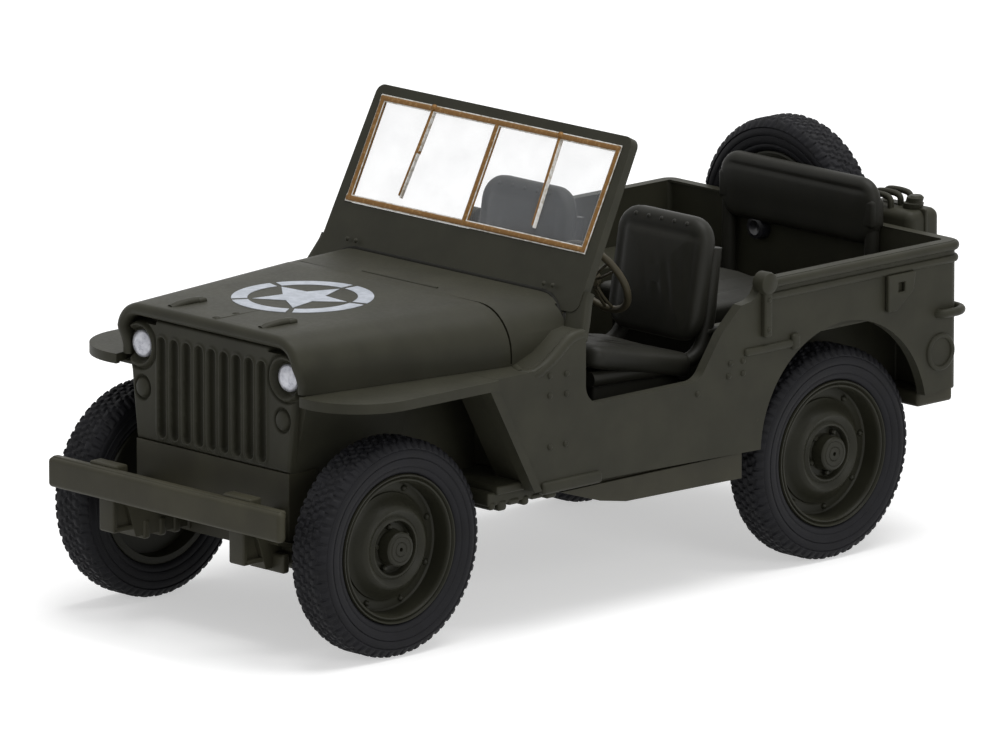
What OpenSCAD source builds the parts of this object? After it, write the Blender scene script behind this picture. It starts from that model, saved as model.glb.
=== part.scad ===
// Small die-cast model of an open army 4x4 car, in millimetres.
// X points to the car's left, -Y to its front, Z up. The origin lies on the ground
// under the middle of the car's length. Stations called ..._y are measured back from
// the front axle, and in_car() moves them into the frame.

/* [Overall] */
// Distance between the two axles
wheelbase = 47.3; // [44:0.1:57]
// Front axle to the bumper's front face
front_overhang = 10.9; // [9.8:0.1:13.2]
// Rear axle to the outer face of the rear panel
tail = 12.9; // [12:0.1:15.6]
// Width over the tub's side panels
body_w = 33.2; // [31.5:0.1:40]
// Thickness of the body's walls
wall = 0.9; // [0.6:0.05:1.1]
// Play between two pieces that are fitted together and glued
fit_gap = 0.02; // [0.01:0.01:0.08]

/* [Wheels] */
// Radius of a tyre
tyre_r = 8.66; // [7.6:0.01:9.1]
// Width of a tyre
tyre_w = 3.8; // [3.2:0.1:4.4]
// Radius of the rim's edge, where the tyre sits
rim_r = 5.95; // [5:0.05:6.8]
// Distance between the middle planes of the two tyres on an axle
track = 27.4; // [26:0.1:28]
// Radius of the steel axle pins
pin_r = 0.8; // [0.6:0.05:1]
// Radial running clearance of an axle pin in the chassis
pin_play = 0.06; // [0.03:0.01:0.1]

/* [Tub] */
// Height of the tub's top rim above the ground
tub_rim_z = 24.4; // [23.6:0.1:28]
// Height of the door sill
sill_z = 17.3; // [16:0.1:18.5]
// Height of the tub's lower edge
belly_z = 11.3; // [10.8:0.1:12.4]
// Height of the upper face of the floor
floor_z = 13; // [12.4:0.1:14]
// Station of the front edge of the door openings
door_front_y = 18.8; // [18:0.1:20.5]
// Length of a door opening at the sill
door_len = 12.4; // [10:0.1:14]
// Run of the curved rear edge of a door opening
door_sweep = 6.8; // [6:0.1:8]
// Radius of the arches over the rear wheels
arch_r = 9.3; // [9.2:0.05:10]
// Height of each of the two rolled beads along the tub's rim
rim_bead = 0.7; // [0.5:0.05:0.9]

/* [Hood and cowl] */
// Width of the hood at its front edge
hood_front_w = 21; // [19:0.1:23]
// Width of the hood at its rear edge
hood_rear_w = 27.6; // [25:0.1:29]
// Height of the hood's front edge
hood_front_z = 25.3; // [24:0.1:28]
// Rise of the hood from its front edge to the cowl
hood_rise = 0.1; // [0:0.1:1.2]
// Station of the hood's front edge, ahead of the axle
hood_lead = 6.3; // [5.6:0.1:7]
// Station of the seam between hood and cowl
cowl_y = 12.4; // [11.5:0.1:13.5]
// Rounding of the hood's shoulders at its front edge
shoulder_r = 2.4; // [1.5:0.1:3]
// Rounding of the hood's shoulders at the cowl
cowl_shoulder_r = 3.6; // [2:0.1:4.2]

/* [Fenders] */
// Height of the fenders' flat top
fender_z = 20.9; // [20.3:0.1:22]
// Overhang of a fender past the tub's side
fender_flare = 0.4; // [0.3:0.1:1.2]
// Front axle to the front tip of a fender
fender_lead = 6.2; // [5.8:0.1:8]
// Station where a fender's top meets its leg
fender_back_y = 9.1; // [8.9:0.1:9.6]
// Station of the foot of a fender's leg
foot_y = 13.9; // [13.4:0.1:14.6]
// Thickness of a fender
fender_t = 0.7; // [0.5:0.05:0.9]
// Depth of a fender's turned-down edge
lip_h = 0.8; // [0.7:0.1:1.4]

/* [Windscreen] */
// Width of the windscreen frame at its top
screen_w = 29.2; // [27:0.1:31]
// Length of the frame from the cowl to its top edge
screen_h = 14.1; // [12:0.1:16.9]
// Lean of the frame to the rear, in degrees
screen_lean = 26.9; // [20:0.1:30]
// Thickness of the frame
screen_t = 0.8; // [0.8:0.1:1.2]
// Width of the frame's sides and top
screen_rail = 0.8; // [0.7:0.1:1.3]
// Height of the closed apron under the glass
apron_h = 4.2; // [3:0.1:5]
// Thickness of the clear sheet
glass_t = 0.4; // [0.3:0.05:0.5]
// Width of the bars laid on the clear sheet
bar_w = 0.45; // [0.3:0.05:0.6]

/* [Nose] */
// Height of the grille's lower edge
grille_z = 14.4; // [13.6:0.1:15]
// Width of the grille at its lower edge
grille_low_w = 17.6; // [16:0.1:18.5]
// Number of slots in the grille
slots = 9; // [7:1:11]
// Spacing of the grille's slots
slot_pitch = 1.44; // [1.1:0.01:1.5]
// Distance between the two headlights
lamp_track = 16.8; // [16:0.1:17.4]
// Height of the headlights
lamp_z = 21.95; // [21.4:0.05:22.4]
// Radius of a headlight
lamp_r = 1.1; // [0.9:0.05:1.3]
// Width of the bumper
bumper_w = 26.8; // [22:0.1:32]
// Height of the bumper
bumper_h = 2.5; // [2:0.1:3]
// Height of the bumper's lower edge
bumper_z = 10.5; // [10:0.1:11]
// Depth of the bumper's channel
bumper_d = 1.5; // [1.2:0.1:1.8]

/* [Cabin] */
// Width of a front seat
seat_w = 10.2; // [8.4:0.1:12.2]
// Distance between the middles of the two front seats
seat_track = 15.7; // [15:0.1:17]
// Station of the front edge of the front seats
seat_y = 22.8; // [22:0.1:23.6]
// Height of the front seats' backs
seat_top_z = 28.8; // [26:0.1:31]
// Radius of the steering wheel
steer_r = 3.6; // [3:0.1:4.6]
// Width of the rear bench
bench_w = 13; // [10:0.1:16]
// Height of the rear bench
bench_z = 20.2; // [18:0.1:21.5]
// Width of the rear backrest
backrest_w = 17.8; // [14:0.1:20]
// Rise of the rear backrest above the tub's rim
backrest_rise = 3.8; // [2.8:0.1:4.6]

/* [Rear equipment] */
// Offset of the spare wheel to the car's right
spare_x = 5; // [4.6:0.1:6.4]
// Height of the spare wheel's middle
spare_z = 22.2; // [21:0.1:23.5]
// Gap between rear panel and spare tyre
spare_gap = 0.3; // [0.2:0.1:1]
// Width of the fuel can
can_w = 6.4; // [5:0.1:7]
// Depth of the fuel can
can_d = 3.6; // [3:0.1:3.8]
// Height of the fuel can's shoulders
can_h = 10.2; // [9:0.1:12]
// Offset of the fuel can to the car's left
can_x = 7.4; // [7.3:0.1:10]

/* [Chassis] */
// Height of the lower face of the base under the tub
base_z = 8.5; // [8:0.1:9.2]
// Distance between the middles of the two frame rails
rail_track = 15; // [13:0.1:16.4]
// Width of a frame rail
rail_w = 1.8; // [1.4:0.1:2.4]
// Radius of the screw holes for a display stand
stand_r = 1; // [0.8:0.05:1.3]
// Depth of the screw holes for a display stand
stand_depth = 3; // [2:0.1:3.4]

/* [Hidden] */
$fn = 48;

olive = [0.2, 0.2, 0.15];
dark_olive = [0.16, 0.16, 0.12];
tyre_black = [0.1, 0.1, 0.12];
steel = [0.6, 0.6, 0.6];
gold = [0.55, 0.42, 0.2];

tail_y = wheelbase + tail;
carrier_t = 0.4;
rear_reach = max(spare_gap + tyre_w, carrier_t + can_d);
overall = front_overhang + tail_y + rear_reach;
front_axle_y = front_overhang - overall / 2;

half_w = body_w / 2;
inner_w = body_w - 2 * wall;
rear_in_y = tail_y - wall;
floor_t = 0.8;
bead_out = 0.25;
bead_heights = [tub_rim_z - rim_bead, tub_rim_z - 2 * rim_bead - 0.3];
hood_rear_z = hood_front_z + hood_rise;
cowl_back_y = door_front_y + 0.3;
cowl_w = hood_rear_w + 1.4;
ledge_z = fender_z + 2.4;
door_back_y = door_front_y + door_len + door_sweep;
arch_z = tyre_r + 1.7;
box_in_x = track / 2 - tyre_w / 2 - 0.5 - wall;
box_top_z = tyre_r * 2 + 2.5;
box_front_y = wheelbase - arch_r - 0.3 - wall;
nose_y = -hood_lead + 0.7;
screen_y = door_front_y + 0.7;
screen_z = hood_rear_z - 0.6;
screen_foot = 0.5;

module in_car() {
    translate([0, front_axle_y, 0]) children();
}

// Draws a YZ outline as a plate between two X positions.
module across(x0, x1) {
    translate([x0, 0, 0]) rotate([90, 0, 90]) linear_extrude(x1 - x0) children();
}

// Draws an XZ outline as a plate between two Y stations.
module along(y0, y1) {
    translate([0, y1, 0]) rotate([90, 0, 0]) linear_extrude(y1 - y0) children();
}

module both_sides() {
    children();
    mirror([1, 0, 0]) children();
}

// ---- Tub ----

module door_outline() {
    offset(r = 1.6) offset(delta = -1.6) polygon([
        [door_front_y, tub_rim_z + 4],
        [door_front_y, sill_z],
        [door_front_y + door_len, sill_z],
        [door_front_y + door_len + 2.4, sill_z + 3.4],
        [door_front_y + door_len + 4.6, tub_rim_z - 1.7],
        [door_back_y, tub_rim_z - 1.4],
        [door_back_y, tub_rim_z + 4]
    ]);
}

module side_outline() {
    difference() {
        polygon([
            [foot_y, belly_z],
            [wheelbase - arch_r, belly_z - 0.6],
            [rear_in_y - 1.2, belly_z + 1],
            [rear_in_y, belly_z + 1],
            [rear_in_y, tub_rim_z],
            [door_back_y - 0.6, tub_rim_z],
            [door_front_y, tub_rim_z],
            [door_front_y, ledge_z],
            [door_front_y - 1.2, ledge_z - 0.2],
            [door_front_y - 3.4, fender_z + 0.8],
            [cowl_y + 1, fender_z],
            [fender_back_y + fender_t, fender_z],
            [foot_y, belly_z + 0.6]
        ]);
        door_outline();
        translate([wheelbase, arch_z]) circle(r = arch_r, $fn = 72);
        translate([wheelbase - arch_r, 0]) square([2 * arch_r, arch_z]);
    }
}

module tub_side() {
    across(half_w - wall, half_w) side_outline();
    for (z = bead_heights) across(half_w, half_w + bead_out)
        translate([door_back_y + 1, z]) square([rear_in_y - door_back_y - 1, rim_bead]);
}

module left_side() {
    color(olive) in_car() tub_side();
}

module right_side() {
    color(olive) in_car() mirror([1, 0, 0]) tub_side();
}

module rear_panel() {
    color(olive) in_car() {
        difference() {
            union() {
                translate([-half_w, rear_in_y, belly_z + 1])
                    cube([body_w, wall, tub_rim_z - belly_z - 1]);
                for (z = bead_heights) translate([-half_w - bead_out, rear_in_y, z])
                    cube([body_w + 2 * bead_out, wall + bead_out, rim_bead]);
            }
            translate([-spare_x, rear_in_y - 1, spare_z]) rotate([-90, 0, 0])
                cylinder(r = peg_r + fit_gap, h = wall + 3);
        }
    }
}

tunnel_w = 4.6;
tunnel_h = 1.6;

module floor_pan() {
    color(olive) in_car() {
        translate([-half_w + wall, foot_y, floor_z - floor_t])
            cube([inner_w, box_front_y - foot_y, floor_t]);
        translate([-box_in_x, box_front_y, floor_z - floor_t])
            cube([2 * box_in_x, rear_in_y - box_front_y, floor_t]);
        translate([-half_w + wall, foot_y, floor_z])
            cube([inner_w, wall, fender_z - floor_z - 1]);
        translate([-tunnel_w / 2, foot_y + wall, floor_z])
            cube([tunnel_w, seat_y - foot_y - wall, tunnel_h]);
    }
}

// Hollow boxes over the rear wheels, open below and towards the arches.
module wheel_box() {
    box_w = half_w - wall - box_in_x;
    difference() {
        translate([box_in_x, box_front_y, floor_z - floor_t])
            cube([box_w, rear_in_y - box_front_y, box_top_z - floor_z + floor_t]);
        translate([box_in_x + wall, box_front_y + wall, 0])
            cube([box_w, rear_in_y - box_front_y - 2 * wall, box_top_z - wall]);
    }
}

module wheel_boxes() {
    color(olive) in_car() both_sides() wheel_box();
}

// ---- Hood, cowl and grille ----

// Upright cross-section with rounded shoulders, standing on the fender line.
module shell_section(w, top, shoulder, inset) {
    r = shoulder - inset;
    hull() {
        for (side = [-1, 1])
            translate([side * (w / 2 - inset - r), top - inset - r]) circle(r = r, $fn = 32);
        translate([-w / 2 + inset, fender_z - inset])
            square([w - 2 * inset, 0.1]);
    }
}

// Shell open below, between two cross-sections given as [station, width, top, shoulder].
module tapered_shell(a, b, front_wall) {
    difference() {
        hull() {
            along(a[0], a[0] + 0.01) shell_section(a[1], a[2], a[3], 0);
            along(b[0] - 0.01, b[0]) shell_section(b[1], b[2], b[3], 0);
        }
        hull() {
            along(a[0] + front_wall, a[0] + front_wall + 0.01)
                shell_section(a[1], a[2], a[3], wall);
            along(b[0] + 0.99, b[0] + 1) shell_section(b[1], b[2], b[3], wall);
        }
        translate([-b[1], a[0] - 1, fender_z - 6]) cube([2 * b[1], b[0] - a[0] + 3, 6]);
    }
}

latch_x = 5.2;

module hood() {
    color(olive) in_car() {
        tapered_shell([-hood_lead, hood_front_w, hood_front_z, shoulder_r],
            [cowl_y - fit_gap, hood_rear_w, hood_rear_z, cowl_shoulder_r], -1);
        for (side = [-1, 1])
            translate([side * latch_x - 0.4, -hood_lead + 1.2, hood_front_z - 0.3])
                cube([0.8, 3.4, 0.65]);
    }
}

module cowl() {
    color(olive) in_car() {
        difference() {
            tapered_shell([cowl_y, hood_rear_w, hood_rear_z, cowl_shoulder_r],
                [cowl_back_y + 1.6, cowl_w, hood_rear_z, cowl_shoulder_r], wall);
            on_screen(0) translate([-half_w, -screen_foot - fit_gap, -20])
                cube([body_w, 30, 20 + fit_gap]);
            translate([-half_w, cowl_back_y, 0]) cube([body_w, 10, screen_z]);
        }
        both_sides() across(cowl_w / 2 - wall, half_w - wall - fit_gap) polygon([
            [cowl_y + 1, fender_z],
            [door_front_y - 3.4, fender_z + 0.8],
            [door_front_y - 1.2, ledge_z - 0.2],
            [door_front_y, ledge_z],
            [door_front_y, ledge_z - wall],
            [door_front_y - 3, fender_z],
        ]);
    }
}

module grille_outline() {
    polygon([
        [-grille_low_w / 2, grille_z],
        [grille_low_w / 2, grille_z],
        [grille_top_w / 2, lamp_z - 1.6],
        [grille_top_w / 2, hood_front_z - 1.6],
        [grille_top_w / 2 - 1.4, hood_front_z - wall - 0.2],
        [-grille_top_w / 2 + 1.4, hood_front_z - wall - 0.2],
        [-grille_top_w / 2, hood_front_z - 1.6],
        [-grille_top_w / 2, lamp_z - 1.6]
    ]);
}
grille_top_w = hood_front_w - 2 * wall - 0.3;
grille_t = 1.2;
slot_w = slot_pitch / 2;
slot_low_z = grille_z + 0.7;
slot_top_z = hood_front_z - 2.3;
lamp_seat = 0.35;

module grille() {
    color(olive) in_car() difference() {
        along(nose_y, nose_y + grille_t) grille_outline();
        for (i = [0 : slots - 1])
            translate([(i - (slots - 1) / 2) * slot_pitch, nose_y - 1, 0]) {
                translate([-slot_w / 2, 0, slot_low_z])
                    cube([slot_w, 1.5, slot_top_z - slot_low_z]);
                translate([0, 0, slot_top_z]) rotate([-90, 0, 0])
                    cylinder(r = slot_w / 2, h = 1.5, $fn = 24);
            }
        for (side = [-1, 1])
            translate([side * lamp_track / 2, nose_y - 1, lamp_z]) rotate([-90, 0, 0])
                cylinder(r = lamp_r + lamp_seat, h = 1.6);
    }
}

module headlights() {
    color("silver") in_car() for (side = [-1, 1])
        translate([side * lamp_track / 2, nose_y + 0.6, lamp_z]) rotate([90, 0, 0]) {
            cylinder(r = lamp_r, h = 0.35);
            translate([0, 0, 0.35]) intersection() {
                translate([0, 0, -lamp_r * 1.3]) sphere(r = lamp_r * 1.64);
                cylinder(r = lamp_r, h = 2);
            }
        }
}

// ---- Fenders ----

module fender_plan(inset) {
    x_in = box_in_x - 1;
    x_out = half_w + fender_flare - inset;
    corner = 5.5;
    hull() {
        translate([x_in, -fender_lead + 0.6 + inset]) square([1, 1]);
        translate([x_in, fender_back_y - 0.1]) square([x_out - x_in, 0.1]);
        translate([x_out - corner, -fender_lead + inset + corner])
            circle(r = corner, $fn = 64);
    }
}

module fender() {
    x_in = box_in_x - 1;
    difference() {
        union() {
            translate([0, 0, fender_z - fender_t]) linear_extrude(fender_t) fender_plan(0);
            translate([0, 0, fender_z - lip_h]) linear_extrude(lip_h) difference() {
                fender_plan(0);
                fender_plan(0.5);
                translate([0, -20]) square([x_in + 1, 40]);
            }
        }
        hull() {
            along(-hood_lead, -hood_lead + 0.01) translate([-hood_front_w / 2, 0])
                square([hood_front_w, 40]);
            along(cowl_y - 0.01, cowl_y) translate([-hood_rear_w / 2, 0])
                square([hood_rear_w, 40]);
        }
    }
    across(x_in, half_w - wall - fit_gap) polygon([
        [fender_back_y - fender_t, fender_z - fender_t],
        [fender_back_y, fender_z - fender_t],
        [foot_y, belly_z],
        [foot_y - fender_t, belly_z]
    ]);
    across(half_w - wall - fit_gap, half_w + fender_flare - 0.1) polygon([
        [fender_back_y - fender_t - 0.2, fender_z - fender_t],
        [fender_back_y, fender_z - fender_t],
        [foot_y - 0.1, belly_z],
        [foot_y - fender_t - 0.2, belly_z]
    ]);
}

module left_fender() {
    color(olive) in_car() fender();
}

module right_fender() {
    color(olive) in_car() mirror([1, 0, 0]) fender();
}

// ---- Windscreen ----

// Moves children from the flat outline (X across, Y up the frame) to the leaning frame.
module on_screen(depth) {
    translate([0, screen_y, screen_z]) rotate([90 - screen_lean, 0, 0])
        translate([0, 0, -depth]) children();
}
glass_w = screen_w - 2 * screen_rail;
glass_h = screen_h - screen_rail - apron_h;
foot_half_w = max(cowl_w / 2 + 0.5, glass_w / 2 + screen_rail);

module windscreen_frame() {
    color(olive) in_car() on_screen(screen_t) difference() {
        linear_extrude(screen_t) offset(r = 0.8) offset(delta = -0.8) polygon([
            [-foot_half_w, -screen_foot],
            [foot_half_w, -screen_foot],
            [screen_w / 2, screen_h],
            [-screen_w / 2, screen_h]
        ]);
        translate([-glass_w / 2, apron_h, -1]) cube([glass_w, glass_h, screen_t + 2]);
    }
}

module windscreen_glass() {
    color([0.85, 0.9, 0.85, 0.4]) in_car() on_screen(screen_t)
        translate([-glass_w / 2 + fit_gap, apron_h + fit_gap, 0.1])
            cube([glass_w - 2 * fit_gap, glass_h - 2 * fit_gap, glass_t]);
}

// Places of the frame's sides and posts, measured from the right edge of the sheet
function post_x(i) = [bar_w / 2, glass_w / 2 - 7.5, glass_w / 2, glass_w / 2 + 6.7,
    glass_w - 2 * fit_gap - bar_w / 2][i];

module windscreen_trim() {
    w = glass_w - 2 * fit_gap;
    h = glass_h - 2 * fit_gap;
    color(gold) in_car() on_screen(screen_t) translate([-w / 2, apron_h + fit_gap, 0.1 + glass_t])
        difference() {
            cube([w, h, 0.35]);
            for (i = [0 : 3])
                translate([post_x(i) + bar_w / 2, bar_w, -1])
                    cube([post_x(i + 1) - post_x(i) - bar_w, h - 2 * bar_w, 3]);
        }
}

// ---- Cabin ----

dash_t = 0.9;

module dashboard() {
    color(olive) in_car() translate([-cowl_w / 2 + 1.7, cowl_back_y - dash_t, floor_z + 5.5])
        cube([cowl_w - 3.4, dash_t, hood_rear_z - floor_z - 7.6]);
}

steer_tilt = 30;
steer_y = 28.2;
steer_z = 24.8;

module steering_wheel() {
    color(dark_olive) in_car() difference() {
        translate([seat_track / 2, steer_y, steer_z]) rotate([steer_tilt - 90, 0, 0]) {
            rotate_extrude($fn = 64) translate([steer_r - 0.3, 0]) circle(r = 0.32, $fn = 16);
            for (a = [90, 210, 330])
                rotate([0, 0, a]) translate([0, -0.25, -0.2])
                    cube([steer_r - 0.3, 0.5, 0.4]);
            translate([0, 0, -0.5]) cylinder(r = 0.8, h = 1);
            translate([0, 0, -14]) cylinder(r = 0.3, h = 14);
        }
        translate([-half_w, 0, 0]) cube([body_w, cowl_back_y + fit_gap, 40]);
    }
}

module gear_levers() {
    color(dark_olive) in_car() for (lever = [[0.6, 20.4, 6.4], [-0.8, 21.2, 4.6]])
        translate([lever[0], lever[1], floor_z + tunnel_h]) rotate([-14, 0, 0]) {
            translate([0, 0, 0.1]) cylinder(r = 0.22, h = lever[2]);
            translate([0, 0, lever[2]]) sphere(r = 0.45, $fn = 24);
        }
}

module front_seat() {
    across(-seat_w / 2, seat_w / 2) offset(r = 0.7) offset(delta = -0.7) polygon([
        [seat_y, 17.6],
        [seat_y, 21.7],
        [seat_y + 10.8, 19.3],
        [seat_y + 12.5, seat_top_z],
        [seat_y + 14.5, seat_top_z],
        [seat_y + 13.1, 17.6]
    ]);
    translate([-seat_w / 2 + 0.8, seat_y + 1, floor_z])
        cube([seat_w - 1.6, 10, 4.7]);
}

module driver_seat() {
    color(olive) in_car() translate([seat_track / 2, 0, 0]) front_seat();
}

module passenger_seat() {
    color(olive) in_car() translate([-seat_track / 2, 0, 0]) front_seat();
}

bench_y = 42;
bench_len = 11.5;

module rear_bench() {
    color(olive) in_car() {
        translate([-bench_w / 2, bench_y, bench_z - 2.2]) cube([bench_w, bench_len, 2.2]);
        translate([-bench_w / 2 + 0.8, bench_y + 1, floor_z])
            cube([bench_w - 1.6, bench_len - 2, bench_z - 2.2 - floor_z]);
    }
}

module backrest_outline() {
    offset(r = 1.6) offset(delta = -1.6) translate([-backrest_w / 2, tub_rim_z - 0.6])
        square([backrest_w, backrest_rise + 0.6]);
}

module rear_backrest() {
    color(olive) in_car() {
        along(rear_in_y - 1.3, rear_in_y - fit_gap) backrest_outline();
        intersection() {
            along(rear_in_y - 1.3, rear_in_y + 0.7) backrest_outline();
            translate([-half_w, 0, tub_rim_z + fit_gap]) cube([body_w, 2 * tail_y, 10]);
        }
        for (side = [-1, 1])
            translate([side * (backrest_w / 2 - 0.7) - 0.7, rear_in_y - 1.3, floor_z])
                cube([1.4, 1.3 - fit_gap, tub_rim_z + 1.4 - floor_z]);
    }
}

// ---- Bumper and chassis ----

module front_bumper() {
    color(olive) in_car() translate([0, -front_overhang, bumper_z]) difference() {
        translate([-bumper_w / 2, 0, 0]) cube([bumper_w, bumper_d, bumper_h]);
        translate([-bumper_w / 2 - 1, 0.5, 0.5]) cube([bumper_w + 2, bumper_d, bumper_h - 1]);
    }
}

pin_hole_r = pin_r + pin_play;
rail_low_z = 9;
keel_w = rail_track - 1;
// Screw holes of the display stand: station, height of the mouth
stand_holes = [[15, rail_low_z], [33, base_z]];

module chassis_base() {
    color(dark_olive) in_car() difference() {
        union() {
            // Frame rails, deeper at the front where the springs hang
            both_sides() across(rail_track / 2 - rail_w / 2, rail_track / 2 + rail_w / 2) polygon([
                [-front_overhang + bumper_d, rail_low_z + 1.6],
                [-front_overhang + bumper_d, belly_z],
                [rear_in_y - fit_gap, belly_z],
                [rear_in_y - fit_gap, rail_low_z],
                [foot_y, rail_low_z],
                [foot_y - 2, 7.1],
                [-front_overhang + 3.2, 7.1],
                [-front_overhang + 2.4, rail_low_z + 0.6]
            ]);
            // Keel plate with the floor's step under the tub
            translate([-keel_w / 2, -3, rail_low_z])
                cube([keel_w, rear_in_y + 2, floor_z - floor_t - rail_low_z]);
            across(-half_w + 0.6, half_w - 0.6) polygon([
                [foot_y + 2.7, belly_z - 0.7],
                [box_front_y - 0.3, belly_z - 0.7],
                [box_front_y - 0.3, base_z],
                [foot_y + 9.9, base_z + 0.2],
                [foot_y + 7.1, rail_low_z + 0.2]
            ]);
            translate([-half_w + wall + 0.1, foot_y + 2.7, belly_z - 0.8])
                cube([inner_w - 0.2, box_front_y - foot_y - 3, floor_z - floor_t - belly_z + 0.8]);
            // Radiator block under the grille and engine block behind it
            translate([-grille_low_w / 2, nose_y, rail_low_z])
                cube([grille_low_w, 3, grille_z - fit_gap - rail_low_z]);
            translate([-8, -3, belly_z]) cube([16, foot_y + 2.9, floor_z + 3 - belly_z]);
            // Axle boxes and the bowls of the differentials
            for (y = [0, wheelbase]) {
                translate([-rail_track / 2 - rail_w / 2, y - 2, tyre_r - 2])
                    cube([rail_track + rail_w, 4, rail_low_z - tyre_r + 2.1]);
                translate([1.6, y, tyre_r]) sphere(r = 2.9);
            }
        }
        for (y = [0, wheelbase])
            translate([-half_w, y, tyre_r]) rotate([0, 90, 0])
                cylinder(r = pin_hole_r, h = body_w);
        for (hole = stand_holes)
            translate([0, hole[0], hole[1] - 1]) cylinder(r = stand_r, h = stand_depth + 1);
    }
}

// Bowed strips outside the rails, one at each wheel.
spring_t = 1.1;
spring_half = 7.6;
spring_bow_r = 24;

module leaf_springs() {
    color(dark_olive) in_car() for (y = [0, wheelbase]) both_sides()
        across(rail_track / 2 + rail_w / 2, rail_track / 2 + rail_w / 2 + spring_t) difference() {
            translate([y - spring_half, 6.9]) square([2 * spring_half, 3.1]);
            translate([y, 8.2 + spring_bow_r]) circle(r = spring_bow_r, $fn = 120);
            translate([y, tyre_r]) circle(r = pin_hole_r + 0.2);
        }
}

// ---- Small fittings ----

module grab_handles() {
    color(olive) in_car() both_sides() translate([half_w + fit_gap, door_back_y + 0.4, 0]) {
        translate([0, 0, tub_rim_z - 0.4]) rotate([0, 90, 0]) cylinder(r = 0.6, h = 0.35 + 0.3);
        translate([0, -0.35, tub_rim_z - 4.4]) cube([0.5, 0.7, 4]);
    }
}

module bumperettes() {
    color(dark_olive) in_car() both_sides()
        translate([half_w - 6.2, tail_y - 3.4, belly_z - 0.4]) cube([5, 4, 1.3 - fit_gap]);
}

// Lifting handles bent round the rear corners.
handle_r = 0.45;
handle_z = 18.7;

module corner_handles() {
    color(olive) in_car() both_sides() difference() {
        translate([half_w - 2, tail_y - 2, handle_z]) {
            rotate_extrude(angle = 90, $fn = 64) translate([2 + handle_r + 0.3, 0])
                circle(r = handle_r, $fn = 20);
            rotate([90, 0, 0]) translate([2 + handle_r + 0.3, 0, 0])
                cylinder(r = handle_r, h = 1.6, $fn = 20);
            rotate([0, -90, 0]) translate([0, 2 + handle_r + 0.3, 0])
                cylinder(r = handle_r, h = 1.6, $fn = 20);
            translate([1.9, -1.6, -handle_r]) cube([0.8, 0.7, 2 * handle_r]);
            translate([-1.6, 1.9, -handle_r]) cube([0.7, 0.8, 2 * handle_r]);
        }
        translate([0, 0, handle_z - 2]) cube([half_w + fit_gap, tail_y + fit_gap, 4]);
    }
}

// Plates with a square hole that hold the canvas bows.
module bow_brackets() {
    color(olive) in_car() both_sides() across(half_w + fit_gap, half_w + 0.45) difference() {
        polygon([
            [wheelbase + 4.5, bead_heights[1] - fit_gap],
            [wheelbase + 7.6, bead_heights[1] - fit_gap],
            [wheelbase + 7.4, 21.2],
            [wheelbase + 5.4, 19.7],
            [wheelbase + 4.5, 19.7]
        ]);
        translate([wheelbase + 5.6, 21.2]) square([0.8, 0.8]);
    }
}

// ---- Wheels ----

peg_r = 1;

// Turned wheel: a dished disc in a rim with two raised edges; its outer face is +Z.
module rim(bore) {
    w = tyre_w - 0.4;
    difference() {
        union() {
            rotate_extrude($fn = 96) polygon([
                [rim_r - 0.7, -w / 2],
                [rim_r - fit_gap, -w / 2],
                [rim_r - fit_gap, w / 2],
                [rim_r - 0.6, w / 2],
                [rim_r - 1, w / 2 - 0.9],
                [3.1, w / 2 - 1.1],
                [2.6, w / 2 - 0.5],
                [1.7, w / 2 - 0.5],
                [1.5, w / 2 + 0.1],
                [0.01, w / 2 + 0.1],
                [0.01, -0.4],
                [rim_r - 0.9, -0.4]
            ]);
        }
        translate([0, 0, -w]) cylinder(r = bore + fit_gap, h = 1.6 * w - 0.4);
    }
}

module tyre() {
    rotate_extrude($fn = 96) polygon([
        [rim_r, -tyre_w / 2 + 0.3],
        [rim_r + 0.6, -tyre_w / 2],
        [tyre_r - 1.1, -tyre_w / 2],
        [tyre_r - 0.3, -tyre_w / 2 + 0.4],
        [tyre_r, -tyre_w / 2 + 0.9],
        [tyre_r, tyre_w / 2 - 0.9],
        [tyre_r - 0.3, tyre_w / 2 - 0.4],
        [tyre_r - 1.1, tyre_w / 2],
        [rim_r + 0.6, tyre_w / 2],
        [rim_r, tyre_w / 2 - 0.3]
    ]);
}

// Places a wheel: side is 1 on the left and -1 on the right.
module at_wheel(side, y) {
    in_car() translate([side * track / 2, y, tyre_r]) rotate([0, 90 * side, 0]) children();
}

module pin(y) {
    pin_l = track + 2;
    color(steel) in_car() translate([-pin_l / 2, y, tyre_r]) rotate([0, 90, 0])
        cylinder(r = pin_r, h = pin_l);
}

module front_pin() pin(0);
module rear_pin() pin(wheelbase);
module front_left_rim() color(olive) at_wheel(1, 0) rim(pin_r);
module front_left_tyre() color(tyre_black) at_wheel(1, 0) tyre();
module front_right_rim() color(olive) at_wheel(-1, 0) rim(pin_r);
module front_right_tyre() color(tyre_black) at_wheel(-1, 0) tyre();
module rear_left_rim() color(olive) at_wheel(1, wheelbase) rim(pin_r);
module rear_left_tyre() color(tyre_black) at_wheel(1, wheelbase) tyre();
module rear_right_rim() color(olive) at_wheel(-1, wheelbase) rim(pin_r);
module rear_right_tyre() color(tyre_black) at_wheel(-1, wheelbase) tyre();

// ---- Rear equipment ----

module at_spare() {
    in_car() translate([-spare_x, tail_y + spare_gap + tyre_w / 2, spare_z])
        rotate([-90, 0, 0]) children();
}

module spare_rim() color(olive) at_spare() rim(peg_r);
module spare_tyre() color(tyre_black) at_spare() tyre();

module spare_peg() {
    color(tyre_black) in_car() translate([-spare_x, rear_in_y - 0.9, spare_z])
        rotate([-90, 0, 0]) cylinder(r = peg_r, h = 0.9 + wall + spare_gap + 2.4);
}

can_z = belly_z + 4;

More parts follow.
